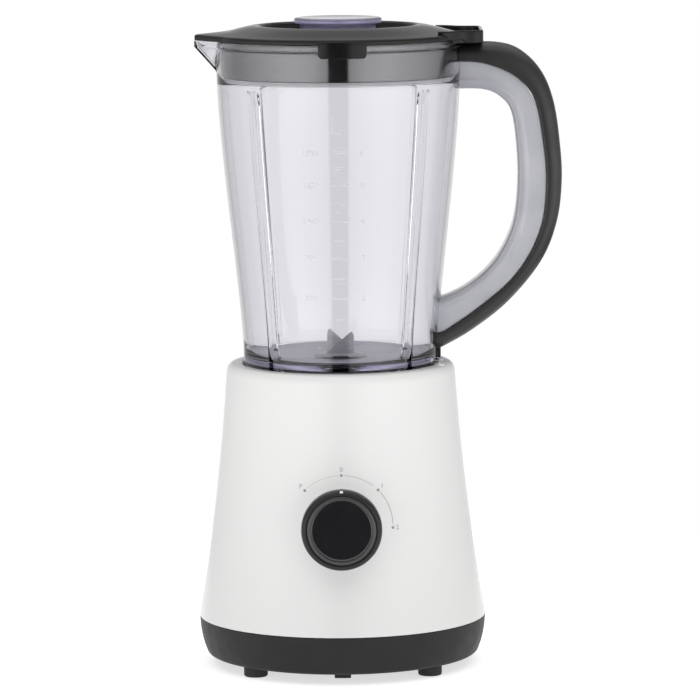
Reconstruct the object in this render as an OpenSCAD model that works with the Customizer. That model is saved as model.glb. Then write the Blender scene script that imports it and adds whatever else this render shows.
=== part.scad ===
// Countertop blender: motor unit, lift-off jug with blade unit, lid and filler cap.
// Frame: origin on the table under the centre of the base, +Z up, front at -Y, handle at +X, spout at -X.

/* [Motor unit] */
// Outer radius at the seam between housing and base cover
base_r = 85; // [84:0.5:86]
// Height of that seam above the table
seam_z = 28.8; // [28:0.1:29.5]
// Height of the flat rim round the jug seat
rim_z = 179.5; // [179:0.1:180]
// Outer radius just under the shoulder
shoulder_r = 67.5; // [67:0.1:68]
// Wall thickness of the housing
housing_wall = 2.8; // [2.4:0.1:3]
// Height of the underside of the base cover above the table
foot_h = 6; // [5.5:0.1:6.5]
// Radius of one rubber foot
foot_r = 7; // [6:0.1:7.2]

/* [Jug seat] */
// Radius of the seat's wall
seat_r = 57.9; // [57.8:0.05:58.2]
// Depth of the seat below the rim
seat_depth = 29.5; // [29:0.1:30]
// Radius of the well that holds the coupling
well_r = 18; // [17.5:0.1:19]

/* [Control knob] */
// Height of the knob's axis above the table
knob_z = 92.2; // [91:0.1:94]
// Radius of the knob
knob_r = 23.4; // [22.5:0.1:24]
// Distance of the knob's face from the central axis
knob_face_y = 90.5; // [90:0.1:91]

/* [Jug] */
// Outer radius of the jug's lower end
jug_low_r = 57.2; // [57:0.1:57.3]
// Outer radius of the collar round the mouth
jug_top_r = 71.5; // [71:0.1:72]
// Wall thickness of the jug
jug_wall = 2.6; // [2.4:0.1:2.8]
// Height of the jug's rim above the table
jug_rim_z = 369.8; // [369.5:0.1:370]
// Height of the ledge under the lid's skirt
ledge_z = 346.2; // [346:0.1:346.6]
// Width of the see-through handle core
core_w = 22; // [20:0.5:23]
// Width of the black grip
grip_w = 25; // [24:0.5:27]

/* [Lid and cap] */
// Outer radius of the lid's flange
lid_r = 73.4; // [73:0.1:74]
// Radius of the finger recess in the lid
recess_r = 45; // [43:0.5:46]
// Radius of the cap's top disc
cap_r = 25.8; // [25.5:0.1:27]
// Radius of the cap's neck
neck_r = 22.4; // [22:0.1:22.6]
// Height of the cap's top above the table
cap_top_z = 383; // [382.5:0.1:384]

/* [Motor] */
// Radius of the motor shaft
shaft_r = 4; // [3.5:0.1:4]
// Radius of the armature core
armature_r = 19.2; // [18.8:0.1:19.4]
// Height of the lower face of the lamination stack
stack_z = 74; // [73:0.5:75]
// Length of the lamination stack
stack_l = 30; // [28:0.5:30]

/* [Hidden] */
$fn = 96;
eps = 0.01;
gap = 0.3;                       // clearance left between bodies that only rest on each other
running = 0.05;                  // radial clearance of a shaft in its bearing

seat_z = rim_z - seat_depth;     // floor of the jug seat
well_z = seat_z - 7;             // floor of the coupling well
jug_foot_z = seat_z + 0.4;
lid_z = jug_rim_z + gap;         // underside of the lid's flange
floor_edge_z = 183.3;            // inner floor of the jug at the wall
floor_mid_z = 177;               // inner floor of the jug at the centre
floor_t = 3;
blade_z = 182.2;                 // underside of the lower blade
blade_t = 1.4;                   // thickness of a blade plate
stack_top = stack_z + stack_l;
bracket_z = 124;                 // underside of the motor's top bracket
lower_bracket_z = 52;
fan_z = 37;
boss_y = 81.5;                   // front face of the knob boss
rib_angles = [45, 135, 225, 315];
foot_xy = [51, 48];
cover_screw_r = 69;
cover_screw_angles = [20, 160, 200, 340];
mount_xy = [24, 33];             // motor grommets at (+-, +-)
bolt_xy = [31, 23];              // long stator bolts at (+-, +-)
brush_z = 118;
pin_x = 61.4;                    // distance of the interlock pin from the axis
pin_angle = -19.5;               // its place round the rim, from the handle towards the front
pin_r = 1.5;
pin_top_z = 181.2;

// ---------------------------------------------------------------- curves

function bez2(a, b, c, n) =
  [for (i = [0 : n]) let (t = i / n) a * (1 - t) * (1 - t) + b * 2 * t * (1 - t) + c * t * t];

function bez3(a, b, c, d, n) =
  [for (i = [0 : n]) let (t = i / n, u = 1 - t)
    a * u * u * u + b * 3 * u * u * t + c * 3 * u * t * t + d * t * t * t];

function arc(cx, cy, r, a0, a1, n) =
  [for (i = [0 : n]) let (a = a0 + (a1 - a0) * i / n) [cx + r * cos(a), cy + r * sin(a)]];

function reversed(p) = [for (i = [len(p) - 1 : -1 : 0]) p[i]];

// One span of a Catmull-Rom curve between q[1] and q[2]
function cr_point(q, t) =
  0.5 * (2 * q[1] + (q[2] - q[0]) * t + (2 * q[0] - 5 * q[1] + 4 * q[2] - q[3]) * t * t
    + (3 * q[1] - q[0] - 3 * q[2] + q[3]) * t * t * t);

// Smooth curve through the points of p, n steps to a span
function through(p, n) =
  let (last = len(p) - 1)
  [for (i = [0 : last - 1])
    let (q = [p[max(i - 1, 0)], p[i], p[i + 1], p[min(i + 2, last)]])
    for (k = [0 : i == last - 1 ? n : n - 1]) cr_point(q, k / n)];

// The curve p moved sideways by d, to the left of its direction
function beside(p, d) =
  let (last = len(p) - 1)
  [for (i = [0 : last])
    let (t = p[min(i + 1, last)] - p[max(i - 1, 0)], l = norm(t))
    [p[i][0] - d * t[1] / l, p[i][1] + d * t[0] / l]];

// ---------------------------------------------------------------- helpers

module tube(r_out, r_in, h) {
  difference() {
    cylinder(r = r_out, h = h);
    translate([0, 0, -1]) cylinder(r = r_in, h = h + 2);
  }
}

// Solid of a side outline drawn in X and Z, w wide along Y
module side_plate(outline, w) {
  rotate([90, 0, 0]) linear_extrude(height = w, center = true) polygon(outline);
}

module rounded_bar(size, r, h) {
  linear_extrude(height = h) rounded_rect(size, r);
}

module rounded_rect(size, r) {
  square([size[0] - 2 * r, size[1]], center = true);
  square([size[0], size[1] - 2 * r], center = true);
  for (sx = [-1, 1], sy = [-1, 1])
    translate([sx * (size[0] / 2 - r), sy * (size[1] / 2 - r)]) circle(r = r, $fn = 48);
}

module at_corners(xy) {
  for (sx = [-1, 1], sy = [-1, 1]) translate([sx * xy[0], sy * xy[1], 0]) children();
}

// Places its children on the interlock pin's axis
module at_pin() {
  rotate([0, 0, pin_angle]) translate([pin_x, 0, 0]) children();
}

module at_angles(angles) {
  for (a = angles) rotate([0, 0, a]) children();
}

// Round bar bent along a helix about Z
module coil_spring(r, wire_r, h, turns) {
  steps = turns * 12;
  sides = 6;
  points = [for (i = [0 : steps], k = [0 : sides - 1])
    let (a = 360 * turns * i / steps, b = 360 * k / sides, rr = r + wire_r * cos(b))
    [rr * cos(a), rr * sin(a), wire_r + (h - 2 * wire_r) * i / steps + wire_r * sin(b)]];
  walls = [for (i = [0 : steps - 1], k = [0 : sides - 1])
    let (k2 = (k + 1) % sides) each [
      [i * sides + k, (i + 1) * sides + k, (i + 1) * sides + k2],
      [i * sides + k, (i + 1) * sides + k2, i * sides + k2]]];
  start_cap = [[for (k = [0 : sides - 1]) k]];
  end_cap = [[for (k = [sides - 1 : -1 : 0]) steps * sides + k]];
  polyhedron(points = points, faces = concat(walls, start_cap, end_cap), convexity = 4);
}

// Pan-head screw, head at the bottom, shank pointing up
module screw(head_r, head_h, shank_r, shank_l) {
  difference() {
    union() {
      cylinder(r = head_r, h = head_h, $fn = 32);
      translate([0, 0, head_h - eps]) cylinder(r = shank_r, h = shank_l + eps, $fn = 24);
    }
    for (a = [0, 90])
      rotate([0, 0, a]) translate([-head_r * 0.6, -0.4, -1]) cube([head_r * 1.2, 0.8, 1 + head_h * 0.5]);
  }
}

// ---------------------------------------------------------------- motor unit shells

housing_side = bez2([base_r, seam_z], [72.4, 98.9], [shoulder_r, 174], 14);

function housing_outer() =
  concat(housing_side, bez2([shoulder_r, 174], [67.1, 178.8], [63.6, rim_z], 5));

module housing_shell() {
  inner = reversed([for (p = housing_side) [p[0] - housing_wall, p[1]]]);
  rotate_extrude() polygon(concat(
    housing_outer(),
    [[seat_r + 0.8, rim_z], [seat_r, rim_z - 0.8], [seat_r, seat_z],
     [well_r, seat_z], [well_r, well_z], [6.5, well_z], [6.5, well_z - 2.6],
     [well_r + 2.6, well_z - 2.6], [well_r + 2.6, seat_z - 3],
     [seat_r + 2.4, seat_z - 3], [seat_r + 2.4, rim_z - 2.6], [62.5, rim_z - 2.8],
     [shoulder_r - housing_wall, 171.5]],
    inner));
}

module knob_boss() {
  rotate([90, 0, 0]) translate([0, knob_z, 60]) cylinder(r = knob_r - 0.3, h = boss_y - 60);
}

module housing_bosses() {
  // posts that the motor hangs from
  at_corners(mount_xy)
    translate([0, 0, 133.5]) cylinder(r = 5, h = seat_z - 2 - 133.5, $fn = 48);
  // posts for the base cover's screws, with a web to the wall
  intersection() {
    at_angles(cover_screw_angles) {
      translate([cover_screw_r, 0, seam_z + 0.3]) cylinder(r = 4.5, h = 26, $fn = 48);
      translate([cover_screw_r, -1.2, seam_z + 0.3]) cube([12, 2.4, 25]);
    }
    rotate_extrude() polygon(concat(
      [[0, seam_z + 0.1]], [for (p = housing_side) [p[0] - 1.2, p[1] + 0.1]], [[0, 174.1]]));
  }
  at_pin() {
    // sleeve that guides the interlock pin
    translate([0, 0, seat_z - 2]) cylinder(r = 3, h = rim_z - seat_z + 0.8, $fn = 48);
    // lug that the interlock bracket is fixed to
    translate([-3.4, -11, seat_z - 12]) cube([6, 5, 10]);
  }
}

module motor_housing() {
  color("white") difference() {
    union() {
      difference() {
        union() {
          housing_shell();
          intersection() {
            knob_boss();
            translate([-40, -boss_y - 1, 60]) cube([80, boss_y - 45, 70]);
          }
        }
        // hollow inside of the knob boss, leaving its face 3 mm thick
        rotate([90, 0, 0]) translate([0, knob_z, 50]) cylinder(r = knob_r - 2.7, h = boss_y - 3 - 50);
      }
      housing_bosses();
      // keys that hold the jug from turning
      at_angles(rib_angles) translate([jug_low_r - 4.6, -1, seat_z - 1]) cube([6, 2, 22]);
    }
    // knob spindle
    rotate([90, 0, 0]) translate([0, knob_z, 60]) cylinder(r = 4.2, h = 40, $fn = 48);
    // switch screws
    for (s = [-1, 1])
      rotate([90, 0, 0]) translate([s * 12, knob_z, 60]) cylinder(r = 1.5, h = boss_y - 61.5, $fn = 32);
    // pilot holes
    at_corners(mount_xy) translate([0, 0, 130]) cylinder(r = 1.6, h = 13, $fn = 32);
    at_angles(cover_screw_angles)
      translate([cover_screw_r, 0, seam_z - 1]) cylinder(r = 1.6, h = 16, $fn = 32);
    // interlock pin
    at_pin() translate([0, 0, 130]) cylinder(r = pin_r + 0.1, h = 60, $fn = 48);
    // drain notch in the seat, at the back
    translate([-4, well_r - 2, seat_z - 1.2]) cube([8, seat_r - well_r - 4, 1.3]);
  }
}

cover_side = bez2([base_r, seam_z - 0.2], [84.4, 17], [81, 9], 8);

module base_cover_shell() {
  inner = reversed([for (p = cover_side) [p[0] - 2.6, max(p[1], foot_h + 2.5)]]);
  difference() {
    rotate_extrude() polygon(concat(
      cover_side, bez2([81, 9], [80.2, 6.2], [77.5, foot_h], 4),
      [[0, foot_h], [0, foot_h + 2.5]], inner));
    // a shallow dish under the base where the cord is wound
    translate([0, 0, foot_h - 1]) tube(60, 30, 1.8);
  }
}

module cover_vents() {
  for (i = [-4 : 4], s = [-1, 1])
    translate([i * 6, s * 13, foot_h - 1]) linear_extrude(height = 6)
      rounded_rect([2.4, 20 - abs(i) * 1.6], 1.1);
}

module cover_spigot() {
  // lip that locates the cover inside the housing
  difference() {
    translate([0, 0, seam_z - 8]) rotate_extrude() polygon(
      [[79.8, 0], [83, 0], [83, 7.4], [81.6, 7.8], [81.6, 10.1], [81.2, 10.5], [79.8, 10.5]]);
    at_angles(cover_screw_angles) translate([cover_screw_r, -8, seam_z - 10]) cube([20, 16, 20]);
    translate([-9, 60, seam_z - 10]) cube([18, 40, 20]);
  }
}

module base_cover() {
  color("dimgray") difference() {
    union() {
      base_cover_shell();
      cover_spigot();
      at_angles(cover_screw_angles)
        translate([cover_screw_r, 0, foot_h + 1]) cylinder(r = 5, h = seam_z - foot_h - 1.4, $fn = 48);
      at_corners(foot_xy) translate([0, 0, foot_h + 1]) cylinder(r = 6, h = 4, $fn = 48);
      // cord hooks under the rim, one at the front and two at the sides
      for (a = [-90, 0, 180])
        rotate([0, 0, a]) translate([69.5, -4.8, 3.3]) cube([5, 9.6, foot_h - 3.3 + 1]);
      // seat for the cord gland, at the back
      translate([0, 72, 18]) rotate([-90, 0, 0]) cylinder(r = 9.8, h = 11, $fn = 64);
    }
    cover_vents();
    at_angles(cover_screw_angles) translate([cover_screw_r, 0, 0]) {
      cylinder(r = 2.1, h = 40, $fn = 32);
      cylinder(r = 4.4, h = 15, $fn = 48);
    }
    at_corners(foot_xy) cylinder(r = 3.1, h = 20, $fn = 48);
    translate([0, 60, 18]) rotate([-90, 0, 0]) cylinder(r = 6, h = 40, $fn = 64);
    translate([0, 82.5, 18]) rotate([-90, 0, 0]) cylinder(r = 8.3, h = 10, $fn = 64);
  }
}

module rubber_feet() {
  color("black") at_corners(foot_xy) rotate_extrude() polygon(concat(
    [[0, 0], [foot_r - 1.4, 0]], bez2([foot_r - 1.4, 0], [foot_r, 0], [foot_r, 1.4], 4),
    [[foot_r, foot_h], [3, foot_h], [3, foot_h + 5.2], [4, foot_h + 5.6], [2.4, foot_h + 9],
     [0, foot_h + 9]]));
}

module base_screws() {
  color("silver") at_angles(cover_screw_angles)
    translate([cover_screw_r, 0, 12.4]) screw(3.8, 2.5, 1.5, 26);
}

module shaft_seal() {
  color("darkslategray") translate([0, 0, well_z - 4.2]) rotate_extrude() polygon(
    [[4.15, 1], [4.8, 0], [6.4, 0], [6.4, 1.5], [8.4, 1.5], [8.4, 1.6 - eps], [6.4, 1.6 - eps],
     [6.4, 4.3], [8.6, 4.3], [8.2, 5.8], [5.2, 5.8], [4.15, 3]]);
}

module cord_gland() {
  color("black") translate([0, 71.4, 18]) rotate([-90, 0, 0]) rotate_extrude() polygon(
    [[3.8, 0], [7.6, 0], [7.6, 0.5], [5.9, 0.5], [5.9, 11.2], [8, 11.2], [7.6, 13.4], [6.4, 14.2],
     [3.8, 14.2]]);
}

// ---------------------------------------------------------------- motor

module bracket_holes() {
  at_corners(bolt_xy) translate([0, 0, -40]) cylinder(r = 2.05, h = 80, $fn = 32);
}

module motor_top_bracket() {
  color("gainsboro") translate([0, 0, bracket_z]) difference() {
    union() {
      rounded_bar([74, 52], 8, 4);
      for (s = [-1, 1])
        rotate([0, 0, s * atan2(mount_xy[1], mount_xy[0])]) rounded_bar([98, 17], 8, 4);
      translate([0, 0, -1]) cylinder(r = 13, h = 10);
      at_corners(bolt_xy) translate([0, 0, stack_top - bracket_z])
        cylinder(r = 4, h = bracket_z - stack_top + 1, $fn = 48);
    }
    translate([0, 0, -2]) cylinder(r = 6, h = 20);
    translate([0, 0, -2]) cylinder(r = 8.05, h = 9);
    at_corners(mount_xy) translate([0, 0, -2]) cylinder(r = 5.5, h = 10, $fn = 48);
    for (s = [-1, 1], t = [-1, 1])
      translate([s * 17, t * 15, -1]) cylinder(r = 4, h = 8, $fn = 32);
    bracket_holes();
  }
}

module motor_bottom_bracket() {
  color("gainsboro") translate([0, 0, lower_bracket_z]) difference() {
    union() {
      rounded_bar([74, 14], 5, 4);
      rotate([0, 0, atan2(bolt_xy[1], bolt_xy[0])]) rounded_bar([92, 15], 7, 4);
      rotate([0, 0, -atan2(bolt_xy[1], bolt_xy[0])]) rounded_bar([92, 15], 7, 4);
      cylinder(r = 13, h = 9);
      at_corners(bolt_xy) cylinder(r = 5, h = stack_z - lower_bracket_z, $fn = 48);
    }
    translate([0, 0, -1]) cylinder(r = 6, h = 12);
    translate([0, 0, 1.5]) cylinder(r = 8.05, h = 12);
    bracket_holes();
  }
}

module bearing(z, h) {
  color("goldenrod") translate([0, 0, z]) rotate_extrude() polygon(
    [[shaft_r + running, 0], [7.2, 0], [8, 0.8], [8, h - 0.8], [7.2, h], [shaft_r + running, h]]);
}

module upper_bearing() bearing(bracket_z - 1.5, 8.3);
module lower_bearing() bearing(lower_bracket_z + 1.6, 7.2);

module stator_core() {
  bore_r = armature_r + 0.8;
  color("slategray") translate([0, 0, stack_z]) difference() {
    rounded_bar([78, 62], 14, stack_l);
    difference() {
      translate([0, 0, -1]) rounded_bar([64, 50], 11, stack_l + 2);
      // two pole shoes and their necks
      for (s = [-1, 1]) translate([0, 0, -2]) intersection() {
        cylinder(r = bore_r + 4, h = stack_l + 4);
        rotate([0, 0, s * 90]) linear_extrude(height = stack_l + 4)
          polygon([[0, 0], [40, -48], [40, 48]]);
      }
      for (s = [-1, 1]) translate([-9, s > 0 ? 20 : -32, -2]) cube([18, 12, stack_l + 4]);
    }
    translate([0, 0, -1]) cylinder(r = bore_r, h = stack_l + 2);
    translate([0, 0, -stack_z]) at_corners(bolt_xy) cylinder(r = 2.2, h = 200, $fn = 32);
  }
}

// One field winding: legs in the windows beside a pole, joined over and under the stack
module field_coil() {
  end_h = 8.2;
  difference() {
    union() {
      for (x = [-25.2, 9.6])
        translate([x, 14, stack_z - end_h]) cube([15.6, 10.5, stack_l + 2 * end_h]);
      for (z = [stack_z - end_h - 0.4, stack_top + 0.4])
        translate([-25.2, 14, z]) cube([50.4, 12.5, end_h]);
    }
    cylinder(r = armature_r + 1.8, h = 200);
    translate([0, 0, stack_z - 0.4]) cylinder(r = armature_r + 5.2, h = stack_l + 0.8);
    translate([0, 0, stack_z - 0.4]) difference() {
      rounded_bar([100, 100], 5, stack_l + 0.8);
      translate([0, 0, -1]) rounded_bar([63.4, 49.4], 10.7, stack_l + 3);
    }
  }
}

module field_coils() {
  color("darkorange") {
    field_coil();
    rotate([0, 0, 180]) field_coil();
  }
}

module stator_bolts() {
  color("silver") at_corners(bolt_xy) {
    translate([0, 0, lower_bracket_z - 3]) cylinder(r = 3.8, h = 3, $fn = 6);
    translate([0, 0, lower_bracket_z - 3]) cylinder(r = 1.95, h = bracket_z + 9 - lower_bracket_z, $fn = 32);
    translate([0, 0, bracket_z + 4]) cylinder(r = 3.5, h = 2, $fn = 32);
  }
}

module motor_grommets() {
  color("black") at_corners(mount_xy) translate([0, 0, 121]) rotate_extrude() polygon(
    [[2.1, 0], [7.4, 0], [7.4, 3], [5.4, 3], [5.4, 7.1], [7.4, 7.1], [7.4, 12.3], [2.1, 12.3]]);
}

module motor_screws() {
  color("silver") at_corners(mount_xy) translate([0, 0, 118.2]) screw(5, 2.7, 1.55, 20);
}

module brush_frame(s) {
  translate([0, 0, brush_z]) rotate([0, 0, s > 0 ? 0 : 180]) children();
}

module brush_holders() {
  color("tan") for (s = [-1, 1]) brush_frame(s) difference() {
    union() {
      translate([14, -5.5, -6.2]) cube([23, 11, 12.1]);
      translate([16, -9, 2.4]) cube([12, 18, 3.5]);
    }
    translate([10, -3.1, -4.1]) cube([30, 6.2, 8.2]);
  }
}

module carbon_brushes() {
  color("black") for (s = [-1, 1]) brush_frame(s)
    translate([11.7, -3, -4]) cube([14, 6, 8]);
}

module brush_springs() {
  color("silver") for (s = [-1, 1]) brush_frame(s)
    translate([25.8, 0, 0]) rotate([0, 90, 0]) coil_spring(2.3, 0.35, 8, 5);
}

module brush_caps() {
  color("saddlebrown") for (s = [-1, 1]) brush_frame(s) {
    translate([34, -3, -4]) cube([3.2, 6, 8]);
    translate([37.1, -5.5, -6.2]) cube([1.8, 11, 12.1]);
  }
}

module motor_shaft() {
  shaft_z = fan_z - 3;
  color("silver") translate([0, 0, shaft_z]) cylinder(r = shaft_r, h = seat_z - 1 - shaft_z, $fn = 64);
}

module on_shaft(z) {
  translate([0, 0, z]) difference() {
    children();
    translate([0, 0, -50]) cylinder(r = shaft_r + 0.02, h = 150, $fn = 64);
  }
}

module armature_core() {
  color("slategray") on_shaft(stack_z) difference() {
    cylinder(r = armature_r, h = stack_l);
    for (a = [0 : 30 : 330]) rotate([0, 0, a]) {
      translate([armature_r - 5, 0, -1]) cylinder(r = 2.2, h = stack_l + 2, $fn = 24);
      translate([armature_r - 5, -0.9, -1]) cube([8, 1.8, stack_l + 2]);
    }
  }
}

module armature_windings() {
  color("chocolate") {
    on_shaft(stack_top + 0.1) rotate_extrude() polygon(
      concat([[0, 0]], bez2([17.6, 0], [18, 6.6], [9.5, 7.4], 6), [[0, 7.4]]));
    on_shaft(stack_z - 9.1) rotate_extrude() polygon(
      concat([[0, 0]], bez2([11, 0], [18.4, 0.6], [17.6, 9], 6), [[0, 9]]));
  }
}

module commutator() {
  color("peru") on_shaft(stack_top + 7.6) difference() {
    union() {
      cylinder(r = 11.5, h = 10.2);
      cylinder(r = 12.6, h = 2);
    }
    for (a = [0 : 15 : 165]) rotate([0, 0, a]) translate([-20, -0.25, -1]) cube([8.8 + 0.5, 0.5, 20]);
    for (a = [0 : 15 : 165]) rotate([0, 0, a]) translate([10.7, -0.25, -1]) cube([9.3, 0.5, 20]);
  }
}

module cooling_fan() {
  color("black") on_shaft(fan_z) union() {
    cylinder(r = 8, h = 11);
    cylinder(r = 31, h = 1.6);
    for (a = [0 : 30 : 330]) rotate([0, 0, a])
      translate([7.5, 0, 0]) rotate([0, 0, 22]) translate([0, -0.7, 0.5]) cube([22.5, 1.4, 9.5]);
  }
}

// Six dogs, each span degrees wide, on a ring from r_in to r_out
module dogs(r_in, r_out, h, span, turn) {
  for (a = [0 : 60 : 300]) rotate([0, 0, a + turn]) intersection() {
    tube(r_out, r_in, h);
    linear_extrude(height = h) polygon([[0, 0], [30, -30 * tan(span / 2)], [30, 30 * tan(span / 2)]]);
  }
}

module drive_coupling() {
  color("black") difference() {
    union() {
      translate([0, 0, well_z + 2.2]) cylinder(r = 14.4, h = 5.6);
      translate([0, 0, well_z + 2.2 + 5.6 - 0.2]) dogs(7.6, 13.9, 5.4, 24, 0);
    }
    translate([0, 0, 100]) cylinder(r = shaft_r + 0.02, h = seat_z - 100.9, $fn = 64);
  }
}

// ---------------------------------------------------------------- switch, interlock, knob

module rotary_switch() {
  color("beige") difference() {
    union() {
      translate([0, -boss_y + 3.2, knob_z]) rotate([-90, 0, 0]) cylinder(r = 17.5, h = 4);
      translate([-14, -boss_y + 7.1, knob_z - 14]) cube([28, 17, 28]);
      for (i = [-1.5, -0.5, 0.5, 1.5])
        translate([i * 7 - 2.4, -boss_y + 24, knob_z + 6]) cube([4.8, 7, 0.8]);
    }
    translate([0, -boss_y, knob_z]) rotate([-90, 0, 0]) cylinder(r = 3.3, h = 18, $fn = 48);
    for (s = [-1, 1])
      translate([s * 12, -boss_y, knob_z]) rotate([-90, 0, 0]) cylinder(r = 1.7, h = 40, $fn = 32);
  }
}

module switch_screws() {
  color("silver") for (s = [-1, 1])
    translate([s * 12, -boss_y + 26.8, knob_z]) rotate([90, 0, 0]) screw(2.6, 2, 1.4, 23);
}

module interlock_bracket() {
  color("dimgray") at_pin() difference() {
    union() {
      translate([-5, -11, 131]) cube([9.6, 22, 3]);
      translate([-3.4, -11, 133.9]) cube([6, 5, seat_z - 12 - 0.05 - 133.9]);
      translate([-5, -11, 118]) cube([2, 22, 14]);
    }
    translate([0, 0, 120]) cylinder(r = 1.75, h = 20, $fn = 32);
  }
}

module interlock_switch() {
  color("black") at_pin() {
    translate([-2.9, -10, 120]) cube([6.4, 20, 9.4]);
    translate([-1, -1.5, 129]) cube([2, 3, 0.9]);
    for (y = [-8, -1, 6]) translate([-0.4, y, 115]) cube([0.8, 3, 5.5]);
  }
}

module interlock_pin() {
  color("white") at_pin() rotate_extrude($fn = 48) polygon(concat(
    [[0, 132.6], [pin_r, 132.6], [pin_r, 140.6], [2.8, 140.6], [2.8, 142.4], [pin_r, 142.4],
     [pin_r, pin_top_z - 1.2]],
    bez2([pin_r, pin_top_z - 1.2], [pin_r, pin_top_z], [0, pin_top_z], 5)));
}

module interlock_spring() {
  color("silver") at_pin() translate([0, 0, 134.1]) coil_spring(2.3, 0.3, 6.4, 4);
}

// Lathe shape about the knob's axis; h grows towards the front from distance y0
module knob_lathe(y0, profile) {
  translate([0, -y0, knob_z]) rotate([90, 0, 0]) rotate_extrude() polygon(profile);
}

knob_back_y = boss_y + 0.5;
knob_h = knob_face_y - knob_back_y;
pointer_w = 1.8;
pointer_h = 1;

module control_knob() {
  color([0.15, 0.15, 0.16]) difference() {
    knob_lathe(knob_back_y, concat(
      [[3.05, 0], [knob_r - 0.5, 0], [knob_r, 0.5]],
      bez2([knob_r, knob_h - 3.6], [knob_r - 0.2, knob_h - 0.4], [knob_r - 2.4, knob_h], 6),
      [[20.6, knob_h - 0.1], [20.1, knob_h - 1], [19.7, knob_h - 1]],
      bez2([19.7, knob_h - 1], [19, knob_h + 0.1], [17.8, knob_h - 0.3], 4),
      [[17.8, knob_h - 2.6], [3.05, knob_h - 2.6]]));
    // notch for the pointer
    translate([-pointer_w / 2 - 0.1, -knob_face_y - 1, knob_z + knob_r - pointer_h - 0.3])
      cube([pointer_w + 0.2, 3.8, 4]);
  }
}

module knob_face() {
  color([0.04, 0.04, 0.05]) knob_lathe(knob_face_y - 2.6 + 0.05, concat(
    [[0, 0], [17.7, 0], [17.7, 1.8]],
    bez2([17.7, 1.8], [16.8, 2.1], [15, 2], 4),
    [[8, 1.86], [0, 1.82]]));
}

module knob_pointer() {
  color("white") translate([-pointer_w / 2, -knob_face_y + 0.1, knob_z + knob_r - pointer_h - 0.2])
    cube([pointer_w, 2.6, pointer_h]);
}

module switch_spindle() {
  color("silver") translate([0, -knob_face_y + 2.6 + 0.1, knob_z])
    rotate([-90, 0, 0]) cylinder(r = 3, h = knob_face_y - 2.7 - boss_y + 17, $fn = 48);
}

// ---------------------------------------------------------------- jug

jug_side = bez3([jug_low_r, 184], [jug_low_r, 215], [jug_top_r - 1.3, 298], [jug_top_r, 350], 22);

function jug_outline(grow) = concat(
  [[jug_low_r + grow, jug_foot_z]],
  [for (p = jug_side) [p[0] + grow, p[1]]],
  [[jug_top_r + grow, 366], [jug_top_r + 0.8 + grow, 366.8], [jug_top_r + 0.8 + grow, jug_rim_z]]);

// The jug's outside as a full solid, grown by grow
module jug_solid(grow) {
  rotate_extrude() polygon(concat([[0, jug_foot_z]], jug_outline(grow), [[0, jug_rim_z]]));
}

module vessel_shell() {
  inner = [for (p = reversed(jug_side)) if (p[1] > 191 && p[1] < 344) [p[0] - jug_wall, p[1]]];
  foot_in = 53.4;
  rotate_extrude() polygon(concat(
    jug_outline(0),
    [[jug_top_r - 2.2, jug_rim_z], [jug_top_r - 2.3, ledge_z], [jug_top_r - 3.9, ledge_z],
     [jug_top_r - 3.9, ledge_z - 2]],
    inner,
    bez2([jug_low_r - jug_wall, 191], [jug_low_r - jug_wall, floor_edge_z], [48, floor_edge_z - 0.4], 6),
    [[14, floor_mid_z + 0.6], [8, floor_mid_z], [8, floor_mid_z - floor_t],
     [14, floor_mid_z + 0.6 - floor_t], [48, floor_edge_z - 0.4 - floor_t],
     [foot_in, 177], [foot_in, jug_foot_z]]));
}

module rib_plate(r_low, r_high, z0, z1, w) {
  side_plate([[r_low, z0], [90, z0], [90, z1], [r_high, z1], [r_low, 183]], w);
}

// Wedge under the spout's lip, narrowed by inset and with its root at root_z
module spout_wedge(inset, root_x, root_z, top_z) {
  tip = -84.6 + inset;
  half = 33 - inset * 1.2;
  points = [
    [tip, -3.5 + inset, top_z], [tip, 3.5 - inset, top_z], [-56, half, top_z], [-56, -half, top_z],
    [tip + 0.9, -2.6 + inset * 0.8, 366.5], [tip + 0.9, 2.6 - inset * 0.8, 366.5],
    [root_x, 2, root_z], [root_x, -2, root_z], [-56, 6, root_z], [-56, -6, root_z]];
  hull() polyhedron(points = points, faces = [
    [0, 1, 2, 3], [4, 7, 6, 5], [0, 4, 5, 1], [1, 5, 6], [1, 6, 8], [1, 8, 2], [0, 7, 4], [0, 9, 7],
    [0, 3, 9], [2, 8, 9, 3], [6, 7, 9, 8]]);
}

module jug_vessel() {
  color([0.85, 0.87, 0.92, 0.35]) difference() {
    union() {
      difference() {
        union() {
          vessel_shell();
          difference() {
            spout_wedge(0, -70.4, 350.5, jug_rim_z);
            rotate_extrude() polygon([[0, 340], [70, 340], [70, 380], [0, 380]]);
          }
        }
        spout_wedge(2.2, -67, 353.5, jug_rim_z + 1);
      }
      intersection() {
        at_angles(rib_angles) rib_plate(48.3, 66.2, jug_foot_z, 344, 6.4);
        jug_solid(0);
      }
      // lug over the interlock pin
      rotate([0, 0, pin_angle]) translate([jug_low_r - 1, -3, pin_top_z + gap]) cube([6.8, 6, 2]);
    }
    // outer groove in each rib; the keys of the seat run in it
    at_angles(rib_angles) rib_plate(50.8, 68.9, jug_foot_z - 5, 342.5, 2.8);
    // clear room over the bearing hole
    translate([0, 0, 140]) cylinder(r = 8, h = 50);
  }
}

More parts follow.
